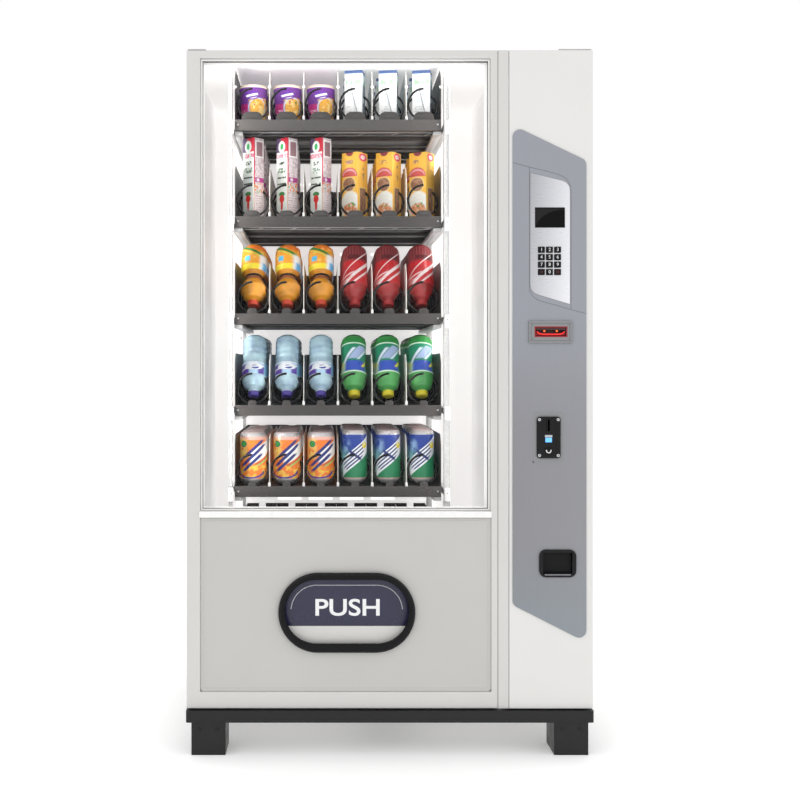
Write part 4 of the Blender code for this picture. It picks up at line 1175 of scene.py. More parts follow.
def make_display():
    low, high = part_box("display_window")
    frame_piece = Piece("display_frame")
    outline = rectangle(low.x - 0.0022, low.z - 0.0022, high.x + 0.0022, high.z + 0.0022)
    frame_piece.add(
        panel(
            [outline, rectangle(low.x + 0.0002, low.z + 0.0002, high.x - 0.0002, high.z - 0.0002)], "Y",
            low.y - 0.0014, low.y + 0.0002, 0.0006, 2
        ), SATIN_BLACK
    )
    frame_piece.finish("payment_door", "black_plastic")


def make_keys():
    """Twelve keys with their figures; clear has a cross and enter a round mark."""
    for index, name in enumerate(("1", "2", "3", "4", "5", "6", "7", "8", "9", "clear", "0", "enter")):
        polish(f"key_{name}", SATIN_BLACK, 0.0016, 3)
        low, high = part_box(f"key_{name}")
        middle = (low + high) / 2
        mark = Piece(f"mark_{name}")
        if name.isdigit():
            mark.add(
                lettering(name, 0.0128, 0.0004), INK_WHITE,
                Matrix.Translation((middle.x, low.y - 0.0001, middle.z))
            )
        elif name == "clear":
            for angle in (45, 135):
                bar = box((-0.0042, -0.0003, -0.0009), (0.0042, 0.0002, 0.0009), 0.0002)
                mark.add(bar, INK_RED, turned(middle.x, low.y, middle.z, (angle, "Y")))
        else:
            rim = [
                (
                    0.0040 * math.cos(a), 0.0040 * math.sin(a)
                ) for a in (2 * math.pi * k / 24 for k in range(24))
            ]
            hole = [(px * 0.55, pz * 0.55) for px, pz in rim]
            mark.add(
                panel([rim, hole], "Y", -0.0003, 0.0002), INK_RED,
                Matrix.Translation((middle.x, low.y, middle.z))
            )
        mark.finish(f"key_{name}", "black_plastic")


def make_bill_details():
    """The mitred bezel's bevels and the lit mouth with its guide lips."""
    low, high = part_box("bill_acceptor")
    front = low.y
    mouth = (0.3985, 1.1470, 0.4835, 1.1710)
    x_low, z_low, x_high, z_high = mouth
    outer = rectangle(low.x, 1.1281, high.x, 1.1883)
    bezel = Piece("bill_bezel")
    bezel.add(
        panel(
            [rounded(outer, 0.002), rounded(inset(outer, 0.0035), 0.002)], "Y", front - 0.0010,
            front + 0.0006, 0.0007, 2
        ), GREY_BEZEL
    )
    corners = list(zip(inset(outer, 0.0030), rectangle(*mouth)))
    for (ax, az), (bx, bz) in corners:
        bezel.add(wire([(ax, front - 0.0001, az), (bx, front - 0.0001, bz)], 0.0004, 1), FINE_LINE)
    bezel.add(
        panel(
            [rounded(inset(outer, 0.0068), 0.002), rounded(inset(outer, 0.0080), 0.002)], "Y",
            front - 0.0003, front + 0.0004, 0.0002, 1
        ), FINE_LINE
    )
    bezel.add(
        panel(
            [
                rounded(inset(rectangle(*mouth), -0.0026), 0.002),
                rounded(inset(rectangle(*mouth), 0.0004), 0.001)
            ], "Y", front - 0.0006, front + 0.0004, 0.0004, 2
        ), RED_DIM
    )
    bezel.finish("payment_door", "fascia_grey")

    lit = Piece("bill_mouth_light")
    back = FACE + 0.020
    # The mouth's back is dark maroon: painted shade tinted with painted red light.
    lit.add(
        box((x_low + 0.0005, back, z_low + 0.0005), (x_high - 0.0005, back + 0.002, z_high - 0.0005)),
        MOUTH_PAINTED_RED_SHADE
    )
    # The upper lip inside the mouth is dark maroon too: painted shade tinted with painted red light.
    upper = rounded(
        rectangle(x_low + 0.001, z_high - 0.0075, x_high - 0.001, z_high - 0.0005), [0.003, 0.003, 0, 0], 3
    )
    lit.add(panel([upper], "Y", front + 0.001, back, 0.001, 2), MOUTH_PAINTED_RED_SHADE)
    arc = []
    for k in range(21):
        t = k / 20 * 2 - 1
        arc.append(((x_low + x_high) / 2 + t * 0.0380, front + 0.0035, z_low + 0.0050 + 0.0075 * abs(t) ** 6))
    lit.add(wire(arc, 0.0019), RED_GLOW)
    # The mouth's floor glows dim red though it is no lamp: painted light from the red lamp in front of it.
    lit.add(
        box((x_low + 0.002, front + 0.006, z_low + 0.002), (x_high - 0.002, back, z_low + 0.0085), 0.001),
        RED_DIM
    )
    for dx in (-0.017, 0.017):
        spot = lathe(
            coat(ORANGE_GLOW, (0.0030, 0), (0.0022, 0.0014), (0.0004, 0.0018)), 20
        )
        lit.add(spot, None, turned((x_low + x_high) / 2 + dx, front + 0.0062, z_low + 0.0145, FACING_FRONT))
    lit.finish("payment_door", "black_plastic")


def make_coin_details():
    """Raised plate edges, four bright screws, slot lips, the small display and the mark on the button."""
    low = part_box("coin_acceptor")[0]
    front, x_low, x_high, z_low, z_high = low.y, 0.4026, 0.4673, 0.8130, 0.9261
    slot_x, button_z = 0.4344, 0.8330
    trim = Piece("coin_frame")
    outer = rounded(rectangle(x_low - 0.009, z_low - 0.013, x_high + 0.009, z_high + 0.013), 0.003)
    inner = rounded(rectangle(x_low - 0.0002, z_low - 0.0002, x_high + 0.0002, z_high + 0.0002), 0.008)
    trim.add(panel([outer, inner], "Y", FASCIA_LOW.y - 0.0006, FASCIA_LOW.y + 0.0004, 0.0004, 2), GREY_BEZEL)
    line = [rounded(inset(outer, -0.0004), 0.003), rounded(inset(outer, 0.0008), 0.003)]
    trim.add(panel(line, "Y", FASCIA_LOW.y - 0.0010, FASCIA_LOW.y + 0.0002, 0.0003, 1), FINE_LINE)
    trim.finish("payment_door", "fascia_grey")

    face = Piece("coin_face")
    rim = rounded(rectangle(x_low + 0.0005, z_low + 0.0005, x_high - 0.0005, z_high - 0.0005), 0.008)
    core = rounded(rectangle(x_low + 0.0125, z_low + 0.0060, x_high - 0.0125, z_high - 0.0045), 0.004)
    face.add(panel([rim, core], "Y", front - 0.0010, front + 0.0004, 0.0005, 2), BLACK_PLASTIC)
    for x in (x_low + 0.0068, x_high - 0.0068):
        for z in (z_low + 0.0075, z_high - 0.0075):
            face.add(
                SCREW, None, turned(x, front - 0.0010, z, FACING_FRONT) @ Matrix.Scale(1.15, 4), keep=True
            )
    lips = rounded(rectangle(slot_x - 0.0052, 0.8850, slot_x + 0.0052, 0.9200), 0.0050)
    slot = rectangle(slot_x - 0.0014, 0.8880, slot_x + 0.0014, 0.9170)
    face.add(panel([lips, slot], "Y", front - 0.0034, front + 0.0004, 0.0012, 3), BLACK_PLASTIC)
    face.add(
        box((slot_x - 0.0102, front - 0.0012, 0.8700), (slot_x + 0.0102, front + 0.0002, 0.8765), 0.0006),
        PALE_GREY
    )
    face.add(
        box((slot_x - 0.0090, front - 0.0012, 0.8565), (slot_x + 0.0090, front + 0.0002, 0.8690), 0.0006),
        BLUE_GLOW
    )
    ring = [(0.0122 * math.cos(a), 0.0122 * math.sin(a)) for a in (2 * math.pi * k / 32 for k in range(32))]
    hole = [(px * 0.79, pz * 0.79) for px, pz in ring]
    face.add(
        panel([ring, hole], "Y", -0.0008, 0.0004, 0.0004, 2), BLACK_PLASTIC,
        Matrix.Translation((slot_x, front, button_z))
    )
    face.finish("payment_door", "black_plastic")

    button_low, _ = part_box("reject_button")
    mark = Piece("reject_mark")
    bend = []
    for k in range(13):
        angle = math.pi * (1 + k / 12)
        bend.append(
            (
                slot_x + 0.0062 * math.cos(angle), button_low.y - 0.0001,
                button_z + 0.0010 + 0.0062 * math.sin(angle)
            )
        )
    path = [(bend[0][0], bend[0][1], button_z + 0.0030), *bend, (bend[-1][0], bend[-1][1], button_z + 0.0030)]
    mark.add(wire(path, 0.0014, 1), INK_WHITE)
    mark.finish("reject_button", "black_plastic")


def make_cup_details():
    """The ledge across the coin cup, and a pale strip along its rolled lower lip: a painted highlight."""
    low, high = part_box("coin_return_cup")
    piece = Piece("coin_cup_ledge")
    piece.add(
        box(
            (low.x + 0.013, low.y - 0.0004, low.z + 0.0080),
            (high.x - 0.013, low.y + 0.0060, low.z + 0.0118), 0.0014, 3
        ), SATIN_BLACK
    )
    # Painted highlight: a pale grey strip along the lower lip.
    piece.add(
        box(
            (low.x + 0.015, low.y - 0.0008, low.z + 0.0062),
            (high.x - 0.015, low.y + 0.0008, low.z + 0.0078), 0.0005
        ), PALE_GREY
    )
    piece.finish("payment_door", "black_plastic")


# ---------------------------------------------------------------- trays and spirals

TRAY_LOW, TRAY_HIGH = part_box("tray_1")
PITCH = (TRAY_HIGH.x - TRAY_LOW.x - 0.001 - TRAY_SHEET) / COLUMNS
TRAY_LEFT = TRAY_LOW.x + 0.0005
TRAY_RIGHT = TRAY_HIGH.x - 0.0005
TRAY_FRONT = TRAY_LOW.y


def column_x(column):
    return TRAY_LEFT + TRAY_SHEET / 2 + (column - 0.5) * PITCH


def tray_bottom(number):
    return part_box(f"tray_{number}")[0].z + 0.0005


def make_tray(number):
    """Pan, folded lip, end walls, rear plate and white dividers, with small white domes at the front of the
    top tray.
    """
    bottom = tray_bottom(number)
    floor = bottom + TRAY_FLOOR
    tray = Piece(f"tray_{number}_pan")
    back = MOTOR_BOX_FRONT
    tray.add(
        box((TRAY_LEFT, TRAY_FRONT + 0.002, floor), (TRAY_RIGHT, back, floor + TRAY_SHEET), 0.0004),
        TRAY_GREY
    )
    lip = rounded([(TRAY_FRONT, bottom - 0.0003), (TRAY_FRONT + 0.0030, bottom - 0.0003),
                   (TRAY_FRONT + 0.0030, bottom + LIP_HEIGHT), (TRAY_FRONT, bottom + LIP_HEIGHT)], 0.0012, 4)
    # The top tray's lip takes the lighter copy of the tray grey: painted light.
    tray.add(panel([lip], "X", TRAY_LEFT, TRAY_RIGHT, 0.0005, 2), TRAY_GREY_PAINTED_LIGHTER if number == 1 else TRAY_GREY)
    fold = rounded(
        [
            (TRAY_FRONT + 0.0031, bottom), (TRAY_FRONT + 0.016, bottom),
            (TRAY_FRONT + 0.016, bottom + 0.0018), (TRAY_FRONT + 0.0031, bottom + 0.0018)
        ], 0.0006, 2
    )
    tray.add(panel([fold], "X", TRAY_LEFT, TRAY_RIGHT, 0.0002, 1), TRAY_SHADE)
    for x in (TRAY_LEFT, TRAY_RIGHT - TRAY_SHEET):
        side = rounded(
            [
                (TRAY_FRONT + 0.002, bottom), (back, bottom), (back, bottom + TRAY_SIDE_HEIGHT),
                (TRAY_FRONT + 0.030, bottom + TRAY_SIDE_HEIGHT),
                (TRAY_FRONT + 0.002, bottom + TRAY_SIDE_HEIGHT - 0.030)
            ], 0.004, 3
        )
        tray.add(panel([side], "X", x, x + TRAY_SHEET, 0.0003, 1), TRAY_GREY)
    for y in (-0.16, 0.0, 0.16):
        rib = rounded(
            [
                (y - 0.012, floor - 0.010), (y + 0.012, floor - 0.010), (y + 0.018, floor),
                (y - 0.018, floor)
            ], 0.002, 3
        )
        tray.add(panel([rib], "X", TRAY_LEFT + 0.002, TRAY_RIGHT - 0.002, 0.0003, 1), TRAY_SHADE)
    for x in (TRAY_LEFT + 0.010, TRAY_RIGHT - 0.010):
        tray.add(
            SCREW, None, turned(x, TRAY_FRONT, bottom + 0.016, FACING_FRONT) @ Matrix.Scale(0.7, 4),
            keep=True
        )
    plate_top = bottom + 0.1805
    if number < 5:
        outlines = [rectangle(TRAY_LEFT, bottom, TRAY_RIGHT, plate_top)]
    else:
        comb = [(TRAY_LEFT, bottom), (TRAY_RIGHT, bottom), (TRAY_RIGHT, plate_top)]
        for column in reversed(range(1, COLUMNS + 1)):
            x = column_x(column)
            comb += [
                (x + 0.011, plate_top), (x + 0.011, plate_top - 0.022), (x - 0.011, plate_top - 0.022),
                (x - 0.011, plate_top)
            ]
        comb.append((TRAY_LEFT, plate_top))
        outlines = [comb]
    tray.add(panel(outlines, "Y", back, back + 0.0015, 0.0003, 1), TRAY_GREY)
    tray.add(
        box(
            (TRAY_LEFT, back + 0.0015, bottom + 0.004),
            (TRAY_RIGHT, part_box(f"tray_{number}")[1].y, bottom + 0.120), 0.004, 3
        ), TRAY_SHADE
    )
    for column in range(1, COLUMNS + 1):
        x = column_x(column)
        hub = coat(SATIN_BLACK, (0.016, 0), (0.016, 0.004), (0.008, 0.006), (0.006, 0.012))
        tray.add(lathe(hub, 20), None, turned(x, back, floor + 0.0485, FACING_FRONT))
    tray.finish(f"tray_{number}", "dark_steel", f"tray_{number}")

    dividers = Piece(f"tray_{number}_dividers")
    top = bottom + DIVIDER_HEIGHT
    for column in range(1, COLUMNS):
        x = TRAY_LEFT + TRAY_SHEET / 2 + column * PITCH
        blade = rounded(
            [
                (TRAY_FRONT + 0.0045, floor + TRAY_SHEET), (back - 0.001, floor + TRAY_SHEET),
                (back - 0.001, top), (TRAY_FRONT + 0.040, top), (TRAY_FRONT + 0.0045, top - 0.040)
            ], 0.006, 4
        )
        dividers.add(panel([blade], "X", x - 0.0007, x + 0.0007, 0.0004, 1), DIVIDER_WHITE)
        clip = rounded([(TRAY_FRONT + 0.0035, floor - 0.001), (TRAY_FRONT + 0.030, floor + TRAY_SHEET),
                        (TRAY_FRONT + 0.030, floor + 0.008), (TRAY_FRONT + 0.0035, floor + 0.014)], 0.002, 3)
        dividers.add(panel([clip], "X", x - 0.0034, x + 0.0034, 0.0012, 2), TRIM_WHITE)
    # Small white domes at the front of the top tray's dividers and end walls.
    white_dome = coat(TRIM_WHITE, (0.0042, 0), (0.0046, 0.0012), (0.0042, 0.0028), (0.0010, 0.0036))
    for column in range(COLUMNS + 1) if number == 1 else ():
        x = TRAY_LEFT + TRAY_SHEET / 2 + column * PITCH
        dividers.add(lathe(white_dome, 16), None, turned(x, TRAY_FRONT + 0.006, bottom + 0.124, FACING_FRONT))
    dividers.finish(f"tray_{number}", "dark_steel")


def make_shoes(number):
    """The dark stops behind the lip: wide arched plates in the upper rows, slim stems below."""
    bottom = tray_bottom(number)
    lip = bottom + LIP_HEIGHT
    shoes = Piece(f"tray_{number}_stops")
    width, height = (
        (0.060, 0.023), (0.046, 0.017), (0.028, 0.015), (0.024, 0.014), (0.022, 0.013), (0.020, 0.006)
    )[number - 1]
    y = TRAY_FRONT + 0.0024
    for column in range(1, COLUMNS + 1):
        x = column_x(column)
        outline = rounded(
            rectangle(x - width / 2, lip - 0.012, x + width / 2, lip + height),
            [0.001, 0.001, width * 0.32, width * 0.32], 6
        )
        shoes.add(panel([outline], "Y", y, y + 0.0016, 0.0004, 2), TRAY_GREY)
        if number < 3:
            slot = stadium(x, lip + height * 0.45, width * 0.45, 0.006, 5)
            shoes.add(panel([slot], "Y", y - 0.0006, y + 0.0002, 0.0003, 1), TRAY_SHADE)
    shoes.finish(f"tray_{number}", "dark_steel")


def make_underside(number):
    """Marks that show under the upper trays: a row of short orange, cream and white strips, pale strips
    across the underside painted as lines of light along its gaps and grooves, and pale ticks.
    """
    bottom = tray_bottom(number)
    z = bottom - 0.0003
    strips = Piece(f"tray_{number}_underside")
    y = TRAY_FRONT + 0.020
    x = TRAY_LEFT + 0.004
    index = 0
    while x < TRAY_RIGHT - 0.03:
        length = 0.020 + 0.009 * (index * 7 % 4)
        finish = (ORANGE_PLASTIC, CREAM_STRIP, ORANGE_PLASTIC, TRIM_WHITE)[index % 4]
        strips.add(box((x, y, z + 0.002), (x + length, y + 0.004, z + 0.006), 0.0006), finish)
        x += length + 0.0035
        index += 1
    # Pale strips across the underside: painted light where light shows along its gaps and grooves.
    for k, (y, thick) in enumerate(((-0.195, 0.0020), (-0.150, 0.0016), (0.02, 0.0016), (0.235, 0.0030))):
        strips.add(
            box(
                (TRAY_LEFT + 0.004, y, z + 0.004), (TRAY_RIGHT - 0.004, y + thick * 2, z + 0.004 + thick),
                0.0004
            ), PALE_GREY
        )
    for column in range(COLUMNS):
        x = column_x(column + 1)
        tick = box((-0.0010, -0.020, 0), (0.0010, 0.020, 0.0020), 0.0004)
        strips.add(tick, PALE_GREY, turned(x + 0.018, -0.165, z + 0.004, (28, "Z")))
    strips.finish(f"tray_{number}", "grey_steel")


def make_slides():
    """The fixed runners under each tray's sides, with the pale front brackets on the racks."""
    slides = Piece("tray_runners")
    for number in range(1, TRAYS + 1):
        z = tray_bottom(number)
        for edge, inward in ((TRAY_LEFT, 1), (TRAY_RIGHT, -1)):
            low, high = sorted((edge - inward * 0.0015, edge + inward * 0.0215))
            channel = rounded(rectangle(low, z - 0.0125, high, z - 0.0015), 0.002, 3)
            slides.add(panel([channel], "Y", TRAY_FRONT + 0.012, 0.285, 0.0008, 2), ZINC)
            groove = box(
                (low + 0.007, TRAY_FRONT + 0.03, z - 0.0131), (high - 0.007, 0.27, z - 0.0121), 0.0003
            )
            slides.add(groove, PALE_GREY)
        for low, high in (
            (TRAY_LEFT - 0.0170, TRAY_LEFT - 0.0020), (TRAY_RIGHT + 0.0090, TRAY_RIGHT + 0.0240)
        ):
            bracket = rounded(rectangle(low, z - 0.012, high, z + 0.026), 0.003, 4)
            slides.add(panel([bracket], "Y", TRAY_FRONT - 0.0085, TRAY_FRONT - 0.0015, 0.0015, 3), TRIM_WHITE)
            slides.add(
                SCREW, None,
                turned(
                    (low + high) / 2, TRAY_FRONT - 0.0085, z + 0.012, FACING_FRONT
                ) @ Matrix.Scale(0.7, 4), keep=True
            )
    slides.finish("cabinet", "grey_steel")


def spiral_mesh(steps=30):
    """A spiral whose first half turn lies flatter than the CAD spiral's, which rises evenly."""
    points = []
    for k in range(round(SPIRAL_TURNS * steps) + 1):
        angle = math.pi / 2 + 2 * math.pi * k / steps
        turn = k / steps
        settled = min(max((turn - 0.5) / 0.85, 0.0), 1.0)
        held_back = 0.65 * min(turn, 0.5) * (1 - settled * settled * (3 - 2 * settled))
        y = (turn - held_back) * SPIRAL_PITCH
        points.append((SPIRAL_RADIUS * math.cos(angle), y, SPIRAL_RADIUS * math.sin(angle)))
    end = points[-1]
    bend = [(end[0] * (1 - t), end[1] + 0.012 * t, end[2] * (1 - t)) for t in (0.85, 0.95, 1.0)]
    shaft = (0, MOTOR_BOX_FRONT - 0.001 - TRAY_FRONT - SPIRAL_SETBACK, 0)
    return wire([*points, *bend, shaft], SPIRAL_WIRE, 2)


def spiral_height(number):
    return tray_bottom(number) + TRAY_FLOOR + TRAY_SHEET + 0.0015 + 0.0025 + SPIRAL_RADIUS


def make_spirals():
    shape = spiral_mesh()
    for number in range(1, TRAYS + 1):
        z = spiral_height(number)
        if number == SPIRAL_TRAY:
            for column in range(1, COLUMNS + 1):
                piece = Piece(f"vend_spiral_{column}")
                piece.add(
                    shape, BLACK_WIRE, turned(column_x(column), TRAY_FRONT + SPIRAL_SETBACK, z), keep=True
                )
                piece.finish(f"spiral_{column}", "black_steel", f"tray_{number}_spiral_{column}", smooth=60)
        else:
            piece = Piece(f"tray_{number}_spirals")
            for column in range(1, COLUMNS + 1):
                piece.add(
                    shape, BLACK_WIRE, turned(column_x(column), TRAY_FRONT + SPIRAL_SETBACK, z), keep=True
                )
            piece.finish(f"tray_{number}", "black_steel", smooth=60)


# ---------------------------------------------------------------- stock: printed surfaces


def printed(name, base, coats_of, roughness=0.42, inverted=False, **sockets):
    """A printed surface with a faint painted glow in its own colours: the layers of coats_of(graph, u, v)
    over a base, mottled.
    """
    g = Graph(name, Roughness=roughness, **sockets)
    u, v = g.uv()
    if inverted:
        u, v = g.math("SUBTRACT", 1.0, u), g.math("SUBTRACT", 1.0, v)
    colour = g.layers(base, *coats_of(g, u, v))
    speckle = g.span(g.noise(260.0, 3.0), 0.35, 0.70, 0.93, 1.05)
    tinted = g.node("Mix", data_type="RGBA", blend_type="MULTIPLY")
    for index, value in ((0, 1.0), (6, colour), (7, speckle)):
        g.put(tinted.inputs[index], value)
    g.set("Base_Color", tinted.outputs[2])
    # Painted light: the stock glows faintly in its own print colours, so that packs deep in the trays stay
    # bright.
    g.set("Emission_Color", tinted.outputs[2])
    g.shader.inputs["Emission Strength"].default_value = 0.13
    g.relief(g.noise(38.0, 2.0), 0.35, 0.0004)
    return g.material


def slanted(g, u, v, offset, slope, half, soft=0.01):
    """Mask of a band |v − offset − slope·u| < half."""
    line = g.math("SUBTRACT", g.math("SUBTRACT", v, offset), g.math("MULTIPLY", u, slope))
    return g.band(line, -half, half, soft)


def rows_of_print(g, u, v, low, high, rows, u_low, u_high):
    """Faint broken rules that stand for small print: no letters."""
    stripes = g.math("FRACT", g.math("MULTIPLY", v, rows))
    broken = g.span(g.noise(90.0, 1.0), 0.42, 0.50)
    return g.both(
        g.band(v, low, high, 0.004), g.band(u, u_low, u_high, 0.004), g.band(stripes, 0.25, 0.62, 0.05),
        broken
    )


def ring_mask(g, u, v, centre, outer, thick, soft=0.06):
    big = g.disc(u, v, centre, outer, soft)
    small = g.disc(u, v, centre, (outer[0] - thick[0], outer[1] - thick[1]), soft)
    return g.math("SUBTRACT", big, small, clamp=True)


def noodle_print(g, u, v):
    mottle = g.noise(70.0, 3.0)
    return (
        (g.both(g.band(u, 0.30, 0.47, 0.02), g.band(v, 0.06, 0.46, 0.02)), (0.46, 0.012, 0.17)),
        (g.both(g.band(u, 0.47, 0.74, 0.02), g.band(v, 0.05, 0.62, 0.03)), (0.72, 0.36, 0.045)),
        (
            g.both(g.band(u, 0.47, 0.74, 0.02), g.band(v, 0.05, 0.62, 0.03), g.span(mottle, 0.52, 0.56)),
            (0.80, 0.58, 0.22)
        ),
        (
            g.both(g.band(u, 0.52, 0.74, 0.02), g.band(v, 0.40, 0.64, 0.03), g.span(mottle, 0.58, 0.62)),
            (0.42, 0.035, 0.02)
        ),
        (
            g.both(
                g.band(u, 0.52, 0.74, 0.02), g.band(v, 0.38, 0.64, 0.03),
                g.span(mottle, 0.30, 0.40, 1.0, 0.0)
            ), (0.10, 0.20, 0.05)
        ),
        (ring_mask(g, u, v, (0.575, 0.34), (0.125, 0.29), (0.014, 0.024)), (0.42, 0.62, 0.85)),
        (g.disc(u, v, (0.50, 0.70), (0.090, 0.130)), (0.120, 0.022, 0.30)),
        (
            g.both(g.disc(u, v, (0.50, 0.70), (0.075, 0.105)), slanted(g, u, v, 0.45, 0.5, 0.030)),
            (0.82, 0.80, 0.86)
        ),
        (
            g.both(g.disc(u, v, (0.50, 0.70), (0.070, 0.098)), slanted(g, u, v, 0.36, 0.5, 0.012)),
            (0.82, 0.80, 0.86)
        ),
        (rows_of_print(g, u, v, 0.10, 0.30, 30.0, 0.33, 0.44), (0.80, 0.70, 0.80)),
        (g.band(v, 0.92, 0.96, 0.01), (0.70, 0.62, 0.50)),
    )


def milk_front(g, u, v):
    cloud = g.noise(55.0, 3.0)
    return (
        (g.band(v, 0.93, 1.10, 0.008), (0.050, 0.10, 0.25)),
        (g.both(g.band(v, 0.72, 0.92, 0.008), g.band(u, 0.07, 0.93, 0.01)), (0.46, 0.68, 0.78)),
        (
            g.both(g.band(v, 0.72, 0.82, 0.03), g.band(u, 0.07, 0.93, 0.01), g.span(cloud, 0.42, 0.52)),
            (0.28, 0.50, 0.27)
        ),
        (g.disc(u, v, (0.40, 0.83), (0.16, 0.050)), (0.86, 0.87, 0.86)),
        (rows_of_print(g, u, v, 0.50, 0.68, 26.0, 0.14, 0.86), (0.36, 0.40, 0.46)),
        (rows_of_print(g, u, v, 0.10, 0.30, 34.0, 0.14, 0.60), (0.46, 0.48, 0.52)),
        (g.both(g.band(v, 0.36, 0.46, 0.01), g.band(u, 0.20, 0.55, 0.02)), (0.70, 0.78, 0.84)),
        (g.band(v, -0.1, 0.045, 0.01), (0.30, 0.36, 0.44)),
    )


def slim_left(g, u, v):
    bits = g.noise(150.0, 2.0)
    return (
        (g.both(g.band(v, 0.82, 1.1, 0.005), g.band(u, 0.0, 0.60, 0.02)), (0.56, 0.020, 0.045)),
        (g.both(g.band(v, 0.82, 1.1, 0.005), g.band(u, 0.60, 1.1, 0.02)), (0.10, 0.06, 0.14)),
        (g.disc(u, v, (0.50, 0.89), (0.30, 0.075)), (0.84, 0.90, 0.84)),
        (g.disc(u, v, (0.50, 0.89), (0.13, 0.040)), (0.04, 0.42, 0.12)),
        (g.both(g.band(v, 0.745, 0.80, 0.006), g.span(bits, 0.40, 0.52)), (0.74, 0.20, 0.30)),
        (
            g.both(g.band(v, 0.655, 0.700, 0.006), g.band(u, 0.22, 0.72, 0.02), g.span(bits, 0.42, 0.50)),
            (0.05, 0.08, 0.05)
        ),
        (
            g.both(g.band(v, 0.555, 0.620, 0.006), g.band(u, 0.14, 0.84, 0.02), g.span(bits, 0.44, 0.52)),
            (0.16, 0.26, 0.18)
        ),
        (
            g.both(g.band(v, 0.485, 0.505, 0.005), g.band(u, 0.10, 0.90, 0.02), g.span(bits, 0.36, 0.44)),
            (0.05, 0.07, 0.05)
        ),
        (
            g.both(g.band(v, 0.405, 0.425, 0.005), g.band(u, 0.10, 0.90, 0.02), g.span(bits, 0.36, 0.44)),
            (0.05, 0.07, 0.05)
        ),
        (g.disc(u, v, (0.50, 0.285), (0.26, 0.030)), (0.03, 0.24, 0.05)),
        (g.disc(u, v, (0.50, 0.225), (0.22, 0.050)), (0.70, 0.020, 0.015)),
        (g.disc(u, v, (0.50, 0.155), (0.10, 0.080)), (0.70, 0.020, 0.015)),
        (g.band(v, -0.1, 0.03, 0.01), (0.45, 0.30, 0.30)),
    )


def slim_right(g, u, v):
    bits = g.noise(150.0, 2.0)
    return (
        (g.span(bits, 0.48, 0.60), (0.50, 0.40, 0.44)),
        (g.both(g.band(v, 0.75, 0.97, 0.004), g.band(u, 0.16, 0.97, 0.02)), (0.86, 0.84, 0.84)),
        (g.both(g.band(v, 0.77, 0.95, 0.004), g.band(u, 0.28, 0.85, 0.02)), (0.30, 0.17, 0.19)),
        (g.both(g.band(v, 0.435, 0.495, 0.004), g.band(u, 0.14, 1.1, 0.02)), (0.42, 0.03, 0.24)),
        (
            g.both(g.band(v, 0.435, 0.495, 0.004), g.disc(u, v, (0.42, 0.465), (0.14, 0.022))),
            (0.70, 0.62, 0.70)
        ),
        (g.both(g.band(v, 0.30, 0.425, 0.01), g.span(bits, 0.54, 0.58)), (0.74, 0.24, 0.05)),
        (g.both(g.band(v, 0.30, 0.425, 0.01), g.span(bits, 0.36, 0.42, 1.0, 0.0)), (0.10, 0.36, 0.10)),
        (
            g.both(
                g.band(v, 0.03, 0.28, 0.01),
                g.band(g.math("FRACT", g.math("MULTIPLY", v, 34.0)), 0.1, 0.55, 0.05)
            ), (0.80, 0.70, 0.70)
        ),
        (g.both(g.band(u, -0.1, 0.12, 0.02), g.band(v, 0.40, 1.1, 0.01)), (0.60, 0.02, 0.05)),
        (g.both(g.band(u, -0.1, 0.06, 0.02), g.band(v, -0.1, 0.40, 0.01)), (0.60, 0.26, 0.10)),
    )


def yellow_front(g, u, v):
    bits = g.noise(110.0, 2.0)
    return (
        (g.disc(u, v, (0.50, 1.00), (0.24, 0.060)), (0.26, 0.03, 0.05)),
        (
            g.both(g.band(v, 0.82, 0.88, 0.01), g.band(u, 0.22, 0.70, 0.02), g.span(bits, 0.46, 0.54)),
            (0.40, 0.20, 0.16)
        ),
        (
            g.both(g.disc(u, v, (0.48, 0.62), (0.50, 0.145)), g.band(v, 0.62, 0.78, 0.006)),
            (0.60, 0.085, 0.075)
        ),
        (
            g.both(
                ring_mask(g, u, v, (0.48, 0.62), (0.46, 0.120), (0.060, 0.030)),
                g.band(v, 0.64, 0.78, 0.006)
            ), (0.72, 0.34, 0.36)
        ),
        (
            g.both(g.disc(u, v, (0.46, 0.50), (0.42, 0.125)), g.band(v, 0.385, 0.62, 0.006)),
            (0.80, 0.60, 0.26)
        ),
        (
            g.both(g.disc(u, v, (0.46, 0.50), (0.36, 0.105)), g.band(v, 0.385, 0.60, 0.006)),
            (0.28, 0.125, 0.065)
        ),
        (
            g.both(
                g.disc(u, v, (0.46, 0.50), (0.34, 0.095)), g.span(bits, 0.50, 0.56),
                g.band(v, 0.385, 0.60, 0.006)
            ), (0.42, 0.22, 0.13)
        ),
        (g.both(g.disc(u, v, (0.55, 0.16), (0.62, 0.235)), g.band(v, 0.02, 0.40, 0.01)), (0.84, 0.83, 0.78)),
        (g.both(g.disc(u, v, (0.52, 0.10), (0.44, 0.105)), g.span(bits, 0.34, 0.42)), (0.78, 0.34, 0.16)),
        (g.both(g.disc(u, v, (0.52, 0.11), (0.40, 0.095)), g.span(bits, 0.52, 0.58)), (0.62, 0.20, 0.09)),
        (g.both(g.disc(u, v, (0.58, 0.18), (0.30, 0.035)), g.span(bits, 0.50, 0.56)), (0.12, 0.36, 0.10)),
    )


